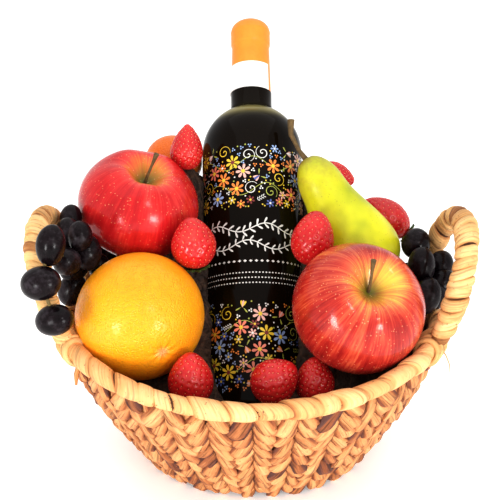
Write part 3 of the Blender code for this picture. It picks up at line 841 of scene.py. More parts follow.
def strand(name: str, path: Path, radii: Sequence[float], sides: int = 10,
           rings: int = 14) -> Piece:
    """Round strand along a path.

    Args:
        name: Name of the piece.
        path: The line that it follows.
        radii: Radii spread evenly from its start to its end.
        sides: Number of sides.
        rings: Number of rings along it.

    Returns:
        The closed strand.
    """
    obj = turned(name, [(1.0, k / rings) for k in range(rings + 1)], sides)

    def follow(points: Array) -> Array:
        centre, side, up = path.at(points[:, 2] * path.length)
        radius = np.interp(points[:, 2], np.linspace(0, 1, len(radii)), radii)[:, None]
        return centre + radius * (side * points[:, :1] + up * points[:, 1:2])

    before = coordinates(obj)
    keep_grain(obj, before[:, 2] * path.length, np.arctan2(before[:, 1], before[:, 0]) * radii[0])
    keep(obj, "tint", np.full(len(before), 0.35))
    reshape(obj, follow)
    close_up(obj)
    return obj


# Basket


@dataclass
class BasketPlan:
    """Plan and height of the basket, shared by its wall, rim and handles."""

    rim_half_x: float = 0.1230
    rim_half_y: float = 0.0985
    foot_half_x: float = 0.0700
    foot_half_y: float = 0.0512
    foot_shift_x: float = 0.0030
    wall_top: float = 0.0872
    wall_curve: float = 1.22
    wall_thick: float = 0.0078
    cover_thick: float = 0.0012
    rim_lift: float = 0.0120
    rim_radius: float = 0.0054

    def wall(self, angle: Array | float, height: Array | float,
             outset: Array | float) -> Array:
        """Points of the wall.

        Args:
            angle: Plan angle from +X.
            height: Height before the ends of the rim are lifted.
            outset: Distance out from the middle of the weave.

        Returns:
            One row for each point.
        """
        angle, height, outset = np.broadcast_arrays(
            np.atleast_1d(angle).astype(float), height, outset)
        part = np.clip(height / self.wall_top, 0.0, 1.0)
        inset = (1 - part) ** self.wall_curve
        half_x = self.rim_half_x - (self.rim_half_x - self.foot_half_x) * inset + outset
        half_y = self.rim_half_y - (self.rim_half_y - self.foot_half_y) * inset + outset
        lift = self.rim_lift * part ** 2 * np.cos(angle) ** 2
        return np.stack([self.foot_shift_x * inset + half_x * np.cos(angle),
                         half_y * np.sin(angle), height + lift], axis=-1)

    @property
    def inside(self) -> float:
        """Outset of the wall's inner face."""
        return self.cover_thick - self.wall_thick

    def frame_at(self, angle: float, height: float,
                 outset: float) -> tuple[Vector, Vector, Vector, Vector]:
        """Find a place on the wall.

        Args:
            angle: Plan angle from +X.
            height: Height before the ends of the rim are lifted.
            outset: Distance out from the middle of the weave.

        Returns:
            The place with its level, upward and outward directions.
        """
        small = 0.002
        here = Vector(self.wall(angle, height, outset)[0])
        level = Vector(self.wall(angle + small, height, outset)[0]
                       - self.wall(angle - small, height, outset)[0]).normalized()
        low = max(height - small, 0.0)
        high = min(height + small, self.wall_top)
        up = Vector(self.wall(angle, high, outset)[0] - self.wall(angle, low, outset)[0])
        out = level.cross(up).normalized()
        return here, level, out.cross(level).normalized(), out

    def rim_path(self) -> Path:
        """Middle line of the rim, closed."""
        angles = np.linspace(0, 2 * math.pi, 361)
        points = self.wall(angles, self.wall_top, 0.0)
        points[:, 2] += self.rim_radius + 0.0004
        ahead = np.roll(points[:-1], -1, axis=0) - np.roll(points[:-1], 1, axis=0)
        ahead = np.concatenate([ahead, ahead[:1]])
        sides = unit(np.stack([ahead[:, 1], -ahead[:, 0], np.zeros(len(ahead))], axis=1))
        return Path(points, sides, np.tile([0.0, 0.0, 1.0], (len(points), 1)), closed=True)


@dataclass
class Weave:
    """Wall of upright braids, each of plump leaves that slant down from its middle."""

    plan: BasketPlan
    palette: Palette
    braids: int = 28
    rows: int = 9
    lowest: float = 0.0075
    highest: float = 0.0852
    leaf_drop: float = 0.0180
    leaf_width: float = 0.0128
    leaf_thick: float = 0.0062
    overlap: float = 1.04
    tuck: float = math.radians(12)
    dark_share: float = 0.12
    edge_shade: float = 0.58
    leaf_spread: float = 0.90
    full_half_braid: float = 0.0125
    side_shift: float = 0.47
    seam_size: Point = (0.0130, 0.0190, 0.0062)
    inner_levels: tuple[float, ...] = (0.066, 0.0755, 0.0845)
    inner_size: Point = (0.0100, 0.0185, 0.0034)
    inner_slant: float = math.radians(50)
    foot_rings: tuple[tuple[float, int], ...] = ((0.84, 34), (0.62, 26), (0.40, 17), (0.18, 8))
    foot_size: Point = (0.0125, 0.0170, 0.0030)
    foot_slant: float = 0.5
    core_inset: float = 0.0016
    core_floor: float = 0.0080
    leaves: list[Piece] = field(default_factory=list)
    rng: Random = field(default_factory=lambda: Random(11))

    def leaf(self, name: str, twist: float, fold: float) -> Piece:
        """Model of one leaf: a plump folded pad of length, width and thickness one.

        Args:
            name: Name of the model.
            twist: Turn of its far end about its length.
            fold: Place of the fold across it, from -1 to 1.

        Returns:
            The leaf along Y with its outer face towards +Z.
        """
        obj = globe(name, 16, 10)

        def shape(points: Array) -> Array:
            along = points[:, 2]
            across, out = unit(points[:, :2] + 1e-9).T
            full = np.clip(1 - np.abs(along) ** 2.7, 0, None)
            rib = 1 + 0.05 * np.cos(8 * np.arctan2(out, across))
            width = 0.5 * full ** 0.55 * (0.84 + 0.22 * along) * across * rib
            thick = 0.5 * full ** 0.60 * out * rib
            groove = 0.30 * np.exp(-((width - 0.5 * fold) / 0.13) ** 2) * np.clip(out, 0, 1)
            thick = thick - groove * full
            angle = twist * along
            bend = -0.16 * along ** 2
            return np.stack([width * np.cos(angle) + thick * np.sin(angle), 0.5 * along,
                             thick * np.cos(angle) - width * np.sin(angle) + bend], axis=1)

        reshape(obj, shape)
        return obj

    def place(self, leaf: Piece, matrix: Matrix, size: Point, tint: float) -> Piece:
        """Copy a leaf to its place with its own tint, painted shade at its sides and ends, grain
        and small unevenness.

        Args:
            leaf: The model.
            matrix: Place and directions of the copy.
            size: Width, length and thickness.
            tint: Place in the ramp of straw colours.

        Returns:
            The copy.
        """
        obj = copy_of(leaf, "leaf")
        local = coordinates(obj)
        shift = self.rng.uniform(0, 50)
        keep_grain(obj, local[:, 1] * size[1], local[:, 0] * size[0], shift)
        # Painted shade: each leaf darkens towards its sides and ends, where it meets and tucks
        # under its neighbours.
        sides = (np.abs(local[:, 0]) / (0.36 + 0.12 * local[:, 1])) ** 3
        ends = (np.abs(local[:, 1]) / 0.5) ** 9
        keep(obj, "tint", tint + self.edge_shade * np.clip(np.maximum(sides, ends), 0, 1))
        bumps = 1 + 0.16 * lumps(local, 0.45, shift)[:, None]
        reshape(obj, lambda points: points * bumps)
        obj.data.transform(matrix @ Matrix.Diagonal((*size, 1.0)))
        return obj

    def tint(self) -> float:
        """Tint of a strand: mostly golden, some reddish brown."""
        if self.rng.random() < self.dark_share:
            return self.rng.uniform(0.36, 0.66)
        return self.rng.uniform(-0.04, 0.22)

    def slanted(self, angle: float, height: float, outset: float, side: int, slant: float,
                tuck: float) -> Matrix:
        """Matrix of a leaf that runs down and to one side over the wall.

        Args:
            angle: Plan angle of its middle.
            height: Height of its middle.
            outset: Distance out from the middle of the weave.
            side: 1 to slant towards a greater angle, -1 towards a smaller one.
            slant: Angle from straight down.
            tuck: Angle that its lower end stands out by.

        Returns:
            The matrix.
        """
        here, level, up, out = self.plan.frame_at(angle, height, outset)
        down = level * (side * math.sin(slant)) - up * math.cos(slant)
        along = (down * math.cos(tuck) + out * math.sin(tuck)).normalized()
        away = (out * math.cos(tuck) - down * math.sin(tuck)).normalized()
        return facing(along.cross(away), along, away, here)

    def braid_leaf(self, angle: float, side: int, height: float) -> Piece:
        """Lay one leaf of a braid.

        Args:
            angle: Plan angle of the braid's middle.
            side: Side of the braid that the leaf slants to, 1 or -1.
            height: Height of its middle.

        Returns:
            The leaf.
        """
        half_step = math.pi / self.braids
        half = float(np.linalg.norm(self.plan.wall(angle + half_step, height, 0.0)
                                    - self.plan.wall(angle, height, 0.0)))
        slant = math.atan2(half * self.leaf_spread, self.leaf_drop) + self.rng.uniform(-0.16, 0.16)
        broad = 0.60 + 0.40 * half / self.full_half_braid
        size = (self.leaf_width * broad * self.rng.uniform(0.80, 1.18),
                math.hypot(half, self.leaf_drop) * self.overlap * self.rng.uniform(0.86, 1.10),
                self.leaf_thick * self.rng.uniform(0.85, 1.15))
        tuck = self.tuck * self.rng.uniform(0.5, 1.5)
        middle = angle + side * half_step * self.side_shift
        matrix = self.slanted(middle, height, -0.0004, side, slant, tuck)
        return self.place(self.rng.choice(self.leaves), matrix, size, self.tint())

    def outer(self) -> None:
        """Cover the outside of the wall, with a leaf under the rim at each seam."""
        step = 2 * math.pi / self.braids
        pitch = (self.highest - self.lowest) / (self.rows - 0.5)
        parts = []
        for braid in range(self.braids):
            phase = self.rng.uniform(-0.15, 0.15)
            for row in range(self.rows):
                for side in (-1, 1):
                    height = self.lowest + pitch * (row + 0.25 * (1 + side) + phase)
                    height += self.rng.uniform(-0.0009, 0.0009)
                    parts.append(self.braid_leaf(braid * step, side, height))
            matrix = self.slanted((braid + 0.5) * step, self.highest - 0.004, -0.0022, 1,
                                  self.rng.uniform(-0.3, 0.3), 0.05)
            # Painted shade: the leaf under the rim is tinted darker.
            parts.append(self.place(self.leaves[0], matrix, self.seam_size, self.tint() + 0.10))
        self.cover("weave_outside", parts, ("basket_body",))

    def inner(self) -> None:
        """Cover the inside of the wall where it shows over the packing."""
        step = 2 * math.pi / self.braids
        parts = []
        for braid in range(self.braids):
            for height in self.inner_levels:
                for side in (-1, 1):
                    angle = (braid + side * 0.25) * step
                    if math.sin(angle) > 0.25:
                        continue
                    matrix = self.slanted(angle, height, self.plan.inside, side,
                                          self.inner_slant, -self.tuck * 0.5)
                    matrix = matrix @ Matrix.Rotation(math.pi, 4, "Y")
                    # Painted shade: leaves inside the wall are tinted darker.
                    parts.append(self.place(self.rng.choice(self.leaves), matrix, self.inner_size,
                                            self.tint() + 0.12))
        self.cover("weave_inside", parts, ())

    def under(self) -> None:
        """Cover the underside of the foot with rings of leaves."""
        parts = []
        down = Vector((0, 0, -1))
        for part, count in self.foot_rings:
            for index in range(count):
                angle = 2 * math.pi * index / count
                here = self.plan.wall(angle, 0.0, 0.0)[0] * part
                centre = Vector((here[0] + self.plan.foot_shift_x * (1 - part), here[1],
                                 self.core_inset))
                spin = angle + math.pi / 2 + (self.foot_slant if index % 2 else -self.foot_slant)
                along = Vector((math.cos(spin), math.sin(spin), 0))
                matrix = facing(along.cross(down), along, down, centre)
                parts.append(self.place(self.rng.choice(self.leaves), matrix, self.foot_size,
                                        self.tint()))
        self.cover("weave_underside", parts, ())

    def cover(self, name: str, parts: Sequence[Piece], stands_for: Sequence[str]) -> None:
        """Join leaves into one piece that stays on the ground or above it.

        Args:
            name: Name of the piece.
            parts: The leaves.
            stands_for: CAD nodes that the piece stands for.
        """
        obj = join(name, parts)

        def grounded(points: Array) -> Array:
            points[:, 2] = np.maximum(points[:, 2], 0.00005)
            return points

        reshape(obj, grounded)
        dress(obj, self.palette.leaf, stands_for, crease=75.0)

    def core(self) -> None:
        """Wall and floor under the leaves, dark as painted shade where they show between them."""
        obj = strip("weave_core", 113, 40)
        outer_steps = 16
        inner_steps = 12
        top = self.plan.wall_top
        inside = self.plan.inside
        levels = [(part, -self.core_inset, self.core_inset) for part in (0.0, 0.35, 0.75)]
        levels += [(1.0, -self.core_inset, max(top * k / outer_steps, self.core_inset))
                   for k in range(outer_steps + 1)]
        levels += [(1.0, inside, top - (top - self.core_floor) * k / inner_steps)
                   for k in range(inner_steps + 1)]
        levels += [(0.6, inside, self.core_floor), (0.0, inside, self.core_floor)]
        table = np.array(levels)

        def shape(points: Array) -> Array:
            angle = (points[:, 0] + 1) * math.pi
            place = (points[:, 1] + 1) / 2 * (len(table) - 1)
            scale, outset, height = (np.interp(place, np.arange(len(table)), table[:, axis])
                                     for axis in range(3))
            found = self.plan.wall(angle, height, outset)
            middle = np.array([self.plan.foot_shift_x, 0.0])
            found[:, :2] = middle + (found[:, :2] - middle) * scale[:, None]
            return found

        reshape(obj, shape)
        close_up(obj, 1e-5)
        dress(obj, self.palette.core)

    def build(self) -> None:
        """Build the whole wall."""
        self.leaves += [
            self.leaf("leaf_plain", 0.25, 0.25),
            self.leaf("leaf_folded", -0.35, -0.30),
            self.leaf("leaf_twisted", 0.55, 0.0),
        ]
        self.outer()
        self.inner()
        self.under()
        self.core()
        drop(*self.leaves)


@dataclass
class Wrapping:
    """Strands wound round a path, each a short plump sleeve."""

    path: Path
    radius: float
    swell: float
    lengths: tuple[float, float]
    skew: float
    dark_share: float
    seed: int
    waist: float = 0.84
    far_lengths: tuple[float, float] = (0.0, 0.0)
    change: float = 2.0
    lap: float = 0.0006
    far_shade: float = 0.0
    seam_shade: float = 0.45
    sides: int = 22

    def sleeve(self) -> Piece:
        """Model of one sleeve: a barrel of length one and radius one."""
        swell = ((0.0, 0.0), (0.50, 0.04), (0.86, 0.14), (1.0, 0.32), (1.0, 0.55),
                 (0.90, 0.76), (0.62, 0.91), (0.28, 0.98), (0.0, 1.0))
        profile = [(self.waist + (1 - self.waist) * rise, along) for rise, along in swell]
        return turned("sleeve", profile, self.sides)

    def fit(self, sleeve: Piece, begin: float, length: float,
            thick: float, shade: float, rng: Random) -> Piece:
        """Copy the sleeve to its stretch of the path.

        Args:
            sleeve: The model.
            begin: Distance along the path where it begins.
            length: Its length along the path.
            thick: Radius of the path there, as a part of the full radius.
            shade: Painted shade added to its place in the ramp of straw colours.
            rng: Source of the unevenness.

        Returns:
            The copy.
        """
        obj = copy_of(sleeve, "sleeve")
        local = coordinates(obj)
        shift = rng.uniform(0, 50)
        around = np.arctan2(local[:, 1], local[:, 0]) * self.radius
        keep_grain(obj, around, local[:, 2] * length, shift)
        dark = rng.random() < self.dark_share
        tint = shade + (rng.uniform(0.34, 0.60) if dark else rng.uniform(-0.06, 0.20))
        # Painted shade: each sleeve darkens towards its ends, in the seams between wraps.
        seam = np.abs(2 * local[:, 2] - 1) ** 6
        keep(obj, "tint", tint + self.seam_shade * seam)
        lean = self.skew * rng.uniform(0.6, 1.4)
        roll = rng.uniform(-0.6, 0.6)
        radius = self.radius * thick * (1 + self.swell * rng.uniform(-1, 1))
        uneven = 1 + 0.05 * lumps(local, 0.6, shift)

        def follow(points: Array) -> Array:
            tilt = lean * (points[:, 0] * math.cos(roll) + points[:, 1] * math.sin(roll))
            distance = begin + points[:, 2] * length + tilt * self.radius
            if not self.path.closed:
                distance = np.clip(distance, 0.0, self.path.length)
            centre, side, up = self.path.at(distance)
            spread = (radius * uneven)[:, None]
            return centre + spread * (side * points[:, :1] + up * points[:, 1:2])

        reshape(obj, follow)
        return obj

    def build(self, name: str, thickness: Rule) -> Piece:
        """Wind sleeves from the path's start to its end.

        Args:
            name: Name of the piece.
            thickness: Gives the radius at a part of the path, as a part of the full radius.

        Returns:
            All the sleeves as one piece.
        """
        rng = Random(self.seed)
        sleeve = self.sleeve()
        parts = []
        begin = 0.0
        while begin < self.path.length - self.lengths[0] * 0.3:
            far = begin / self.path.length > self.change
            length = rng.uniform(*(self.far_lengths if far else self.lengths))
            length = min(length, self.path.length - begin)
            thick = float(thickness(np.array([begin / self.path.length]))[0])
            # Painted shade: sleeves past the change point are tinted darker.
            shade = self.far_shade if far else 0.0
            parts.append(self.fit(sleeve, begin - self.lap, length + 2 * self.lap, thick, shade,
                                  rng))
            begin += length
        drop(sleeve)
        obj = join(name, parts)
        close_up(obj)
        return obj


@dataclass
class Rim:
    """Rim wrapped with flat pale strands."""

    plan: BasketPlan
    palette: Palette
    strand_length: tuple[float, float] = (0.0105, 0.0215)
    core: float = 0.84
    tube: float = 0.25

    def build(self) -> None:
        """Build the wraps and the hoop under them."""
        path = self.plan.rim_path()
        wrapping = Wrapping(path, radius=self.plan.rim_radius * 1.05, swell=0.15,
                            lengths=self.strand_length, skew=0.85, dark_share=0.08, seed=5,
                            waist=0.78)
        wraps = wrapping.build("rim_wraps", np.ones_like)
        dress(wraps, self.palette.wrap, ("basket_rim",), crease=50.0)
        # Painted shade: the hoop is dark where it shows between the wraps.
        core = hoop("rim_core", 1.0, self.tube, 120, 12)

        def follow(points: Array) -> Array:
            angle = np.mod(np.arctan2(points[:, 1], points[:, 0]), 2 * math.pi)
            centre, side, up = path.at(angle / (2 * math.pi) * path.length)
            out = (np.hypot(points[:, 0], points[:, 1]) - 1)[:, None] / self.tube
            radius = self.plan.rim_radius * self.core
            return centre + radius * (side * out + up * points[:, 2:] / self.tube)

        reshape(core, follow)
        close_up(core)
        dress(core, self.palette.core)


@dataclass
class Handle:
    """Arched side handle wound with a plump coil."""

    side: Side
    plan: BasketPlan
    palette: Palette
    loops: int = 4
    loop_radius: float = 0.0074
    loop_thick: float = 0.0019
    loop_pitch: float = 0.0036
    loop_rise: float = 0.0008
    radius: float = 0.0078
    foot_x: float = 0.1165
    foot_z: float = 0.1062
    centre_y: float = 0.0030
    half_span: float = 0.0425
    height: float = 0.0665
    outreach: float = 0.0195
    squareness: float = 0.85
    fullness: float = 0.75
    flare: float = 0.80
    foot_taper: float = 0.30

    def path(self) -> Path:
        """Middle line of the handle from its front foot to its back foot."""
        turn = np.linspace(0, math.pi, 121)
        across = np.copysign(np.abs(np.cos(turn)) ** self.squareness, np.cos(turn))
        rise = np.clip(np.sin(turn), 0, None) ** self.fullness
        sign = self.side.value
        points = np.stack([sign * (self.foot_x + self.outreach * rise ** self.flare),
                           self.centre_y - self.half_span * across,
                           self.foot_z + self.height * rise], axis=1)
        tangents = unit(np.gradient(points, axis=0))
        sides = np.tile([float(sign), 0.0, 0.0], (len(points), 1))
        sides = unit(sides - tangents * np.sum(sides * tangents, axis=1)[:, None])
        return Path(points, sides, np.cross(tangents, sides))

    def thickness(self, part: Array) -> Array:
        """Radius along the handle, slimmer at its feet, as a part of the full radius."""
        near = np.minimum(part, 1 - part)
        return 1 - self.foot_taper * np.exp(-((near / 0.045) ** 2))

    def build(self) -> None:
        """Build the coil and the rod under it."""
        path = self.path()
        name = f"handle_{self.side.name.lower()}"
        # Painted shade: the coil's far half is tinted darker than its front.
        coil = Wrapping(path, radius=self.radius * 0.97, swell=0.08, lengths=(0.0054, 0.0074),
                        skew=0.50, dark_share=0.05, seed=21 + self.side.value, waist=0.70,
                        far_lengths=(0.0075, 0.0120), change=0.46, far_shade=0.16)
        wraps = coil.build(name + "_coil", self.thickness)
        dress(wraps, self.palette.rope, (name,), crease=50.0)
        # Painted shade: the rod is dark where it shows between the loops of the coil.
        radii = self.thickness(np.linspace(0, 1, 30)) * self.radius * 0.76
        rod = strand(name + "_rod", path, radii, 14, 60)
        dress(rod, self.palette.core)
        self.lashing(name + "_lashing")

    def loop(self, foot: int, across: float, rng: Random) -> Piece:
        """Tie one slanted loop round the rim.

        Args:
            foot: -1 for the front foot, 1 for the back one.
            across: Distance of the loop from the middle of the foot.
            rng: Source of the unevenness.

        Returns:
            The loop.
        """
        loop = hoop("loop", self.loop_radius, self.loop_thick, 40, 10)
        local = coordinates(loop)
        around = np.arctan2(local[:, 1], local[:, 0]) * self.loop_radius
        keep_grain(loop, around, local[:, 2], rng.uniform(0, 50))
        keep(loop, "tint", np.full(len(local), rng.uniform(0.0, 0.35)))
        plan = self.plan
        y = self.centre_y + foot * (self.half_span + across)
        part = math.sqrt(1 - (y / plan.rim_half_y) ** 2)
        place = Vector((self.side.value * plan.rim_half_x * part, y, plan.wall_top
                        + plan.rim_lift * part ** 2 + plan.rim_radius + self.loop_rise))
        slope = -self.side.value * y / plan.rim_half_y ** 2 * plan.rim_half_x / part
        turn = Vector((slope, 1.0, 0.0)).to_track_quat("Z", "Y").to_matrix().to_4x4()
        lean = Matrix.Rotation(foot * rng.uniform(0.25, 0.60), 4, Vector((1, 0, 0)))
        loop.data.transform(Matrix.Translation(place) @ lean @ turn)
        return loop

    def lashing(self, name: str) -> None:
        """Tie each foot to the rim with slanted loops."""
        rng = Random(40 + self.side.value)
        parts = [self.loop(foot, self.loop_pitch * (k - (self.loops - 1) / 2), rng)
                 for foot in (-1, 1) for k in range(self.loops)]
        dress(join(name, parts), self.palette.rope)


@dataclass
class LooseStrands:
    """Thin fibre ends that stand off the rim and the wall."""

    palette: Palette
    runs: tuple[tuple[Point, ...], ...] = (
        ((0.1170, -0.0400, 0.1040), (0.1215, -0.0440, 0.1010), (0.1240, -0.0470, 0.0950),
         (0.1238, -0.0480, 0.0890)),
        ((-0.1075, -0.0480, 0.0960), (-0.1095, -0.0500, 0.0900), (-0.1100, -0.0510, 0.0830)),
        ((-0.0300, -0.0960, 0.0880), (-0.0350, -0.0985, 0.0850), (-0.0420, -0.0975, 0.0830)),
    )
    radii: tuple[float, ...] = (0.0004, 0.0018, 0.0007)

    def build(self) -> None:
        """Build the strands as one piece."""
        parts = [
            strand("fibre", Path.free(run), (radius, radius * 0.9, radius * 0.4), 8, 10)
            for run, radius in zip(self.runs, self.radii)
        ]
        dress(join("loose_strands", parts), self.palette.wrap)


@dataclass
class Packing:
    """Crumpled tissue under the fruit, made from the packing's own solid."""

    palette: Palette
    crumple: float = 0.0016

    def build(self) -> None:
        """Copy the solid, cut its faces finer and crumple it inwards."""
        obj = copy_of(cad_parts["packing"], "packing_tissue")
        close_up(obj, 1e-5)
        bpy.ops.object.mode_set(mode="EDIT")
        bpy.ops.mesh.select_all(action="SELECT")
        bpy.ops.mesh.subdivide(number_cuts=3)
        bpy.ops.object.mode_set(mode="OBJECT")
        points = coordinates(obj)
        normals = np.empty(len(points) * 3)
        obj.data.vertices.foreach_get("normal", normals)
        depth = np.abs(lumps(points, 0.011, 3.0)) + 0.5 * np.abs(lumps(points, 0.004, 9.0))
        sunk = points - normals.reshape(-1, 3) * (self.crumple * depth)[:, None]
        reshape(obj, lambda _: sunk)
        dress(obj, self.palette.paper, ("packing",), crease=25.0)


# Bottle


@dataclass
class Bottle:
    """Leaning bottle: glass, capsule, neck band and printed ornament."""

    palette: Palette
    base: Point = (0.0028, -0.0133, 0.0366)
    lean: float = math.radians(36.4)
    sway: float = math.radians(-0.7)
    radius: float = 0.0365
    body: float = 0.1904
    shoulder: float = math.radians(65)
    neck_radius: float = 0.0153
    neck_start: float = 0.2236
    neck_end: float = 0.2376
    glint: float = 0.2165
    segments: int = 96
    capsule_start: float = 0.2380
    capsule_end: float = 0.2980
    capsule_radius: float = 0.0148
    waist_radius: float = 0.0140
    bead_start: float = 0.2765
    bead_end: float = 0.2885
    bead_radius: float = 0.0148
    band_low: float = 0.2374
    band_high: float = 0.2580
    band_half_arc: float = math.radians(80)
    band_turn: float = math.radians(-24)

    def matrix(self) -> Matrix:
        """Place of the bottle, whose own axis is Z and whose front is -Y."""
        axis = Vector((math.sin(self.sway), math.sin(self.lean), math.cos(self.lean)))
        turn = Vector((0, 0, 1)).rotation_difference(axis)
        return Matrix.Translation(self.base) @ turn.to_matrix().to_4x4()

    def glass(self) -> None:
        """Build the glass up to the capsule."""
        profile = [(self.radius - 0.0060, 0.0004), (self.radius - 0.0036, 0.0),
                   (self.radius - 0.0014, 0.0014), (self.radius - 0.0004, 0.0040),
                   (self.radius, 0.0080)]
        profile += [(self.radius, self.body * k / 6) for k in range(1, 7)]
        steps = 14
        for k in range(1, steps + 1):
            turn = self.shoulder * k / steps
            profile.append((self.radius * math.cos(turn), self.body + self.radius * math.sin(turn)))
        profile += [(self.neck_radius + 0.0002, self.neck_start + 0.0004),
                    (self.neck_radius + 0.0004, self.neck_start + 0.0014),
                    (self.neck_radius, self.neck_start + 0.0026), (self.neck_radius, self.neck_end)]
        obj = turned("bottle_glass", profile, self.segments)
        # Painted highlight: the thin attribute is an olive glow on the front of the shoulder, round
        # the glint height.
        _, depth, height = coordinates(obj).T
        front = np.clip(-depth / 0.012, 0, 1)
        keep(obj, "thin", np.exp(-((height - self.glint) / 0.0042) ** 2) * front)
        obj.data.transform(self.matrix())
        dress(obj, self.palette.glass, ("bottle",), crease=40.0)

    def capsule(self) -> None:
        """Build the capsule with the bead and the tear line under it."""
        bead = self.bead_radius
        profile = [(self.capsule_radius - 0.0004, self.capsule_start),
                   (self.capsule_radius, self.capsule_start + 0.0004),
                   (self.waist_radius + 0.0003, self.bead_start - 0.0120),
                   (self.waist_radius, self.bead_start - 0.0008),
                   (bead - 0.0005, self.bead_start), (bead - 0.0001, self.bead_start + 0.0008),
                   (bead, self.bead_start + 0.0020), (bead, self.bead_end - 0.0020),
                   (bead + 0.0002, self.bead_end - 0.0012), (bead + 0.0002, self.bead_end - 0.0006),
                   (bead - 0.0001, self.bead_end)]
        steps = 9
        for k in range(1, steps + 1):
            turn = math.pi / 2 * k / steps
            rise = (self.capsule_end - self.bead_end) * math.sin(turn)
            profile.append((max((bead - 0.0001) * math.cos(turn), 0.0004), self.bead_end + rise))
        obj = turned("bottle_capsule", profile, self.segments)
        obj.data.transform(self.matrix())
        dress(obj, self.palette.capsule, ("capsule",), crease=45.0)

    def band(self) -> None:
        """Build the paper band round the front of the capsule."""
        obj = strip("bottle_band", 49, 7)
        slope = (self.capsule_radius - self.waist_radius) / (self.bead_start - self.capsule_start)

        def shape(points: Array) -> Array:
            turn = self.band_turn + points[:, 0] * self.band_half_arc
            half = (self.band_high - self.band_low) / 2
            height = self.band_low + half * (1 + points[:, 1])
            radius = self.capsule_radius - slope * (height - self.capsule_start) + 0.0004
            return np.stack([radius * np.sin(turn), -radius * np.cos(turn), height], axis=1)

        reshape(obj, shape)
        thicken(obj, 0.0006, 1.0)
        obj.data.transform(self.matrix())
        dress(obj, self.palette.band, ("neck_band",), crease=40.0)

    def build(self) -> None:
        """Build the whole bottle."""
        self.glass()
        self.capsule()
        self.band()
        Print(self).build()


class Ink(Enum):
    """Inks of the printed ornament, in linear light."""

    WHITE = (0.82, 0.81, 0.76)
    YELLOW = (0.80, 0.58, 0.05)
    ORANGE = (0.82, 0.27, 0.05)
    CORAL = (0.80, 0.24, 0.15)
    PINK = (0.82, 0.48, 0.40)
    SKY = (0.30, 0.42, 0.66)
    BLUE = (0.09, 0.13, 0.38)
    MAROON = (0.22, 0.03, 0.03)
    OLIVE = (0.42, 0.45, 0.08)


@dataclass(frozen=True)
class Mark:
    """One flat shape of the print. Its place is across and up the unrolled glass, in metres."""

    shape: str
    ink: Ink
    place: complex
    length: float
    width: float
    turn: float = 0.0
    layer: int = 0


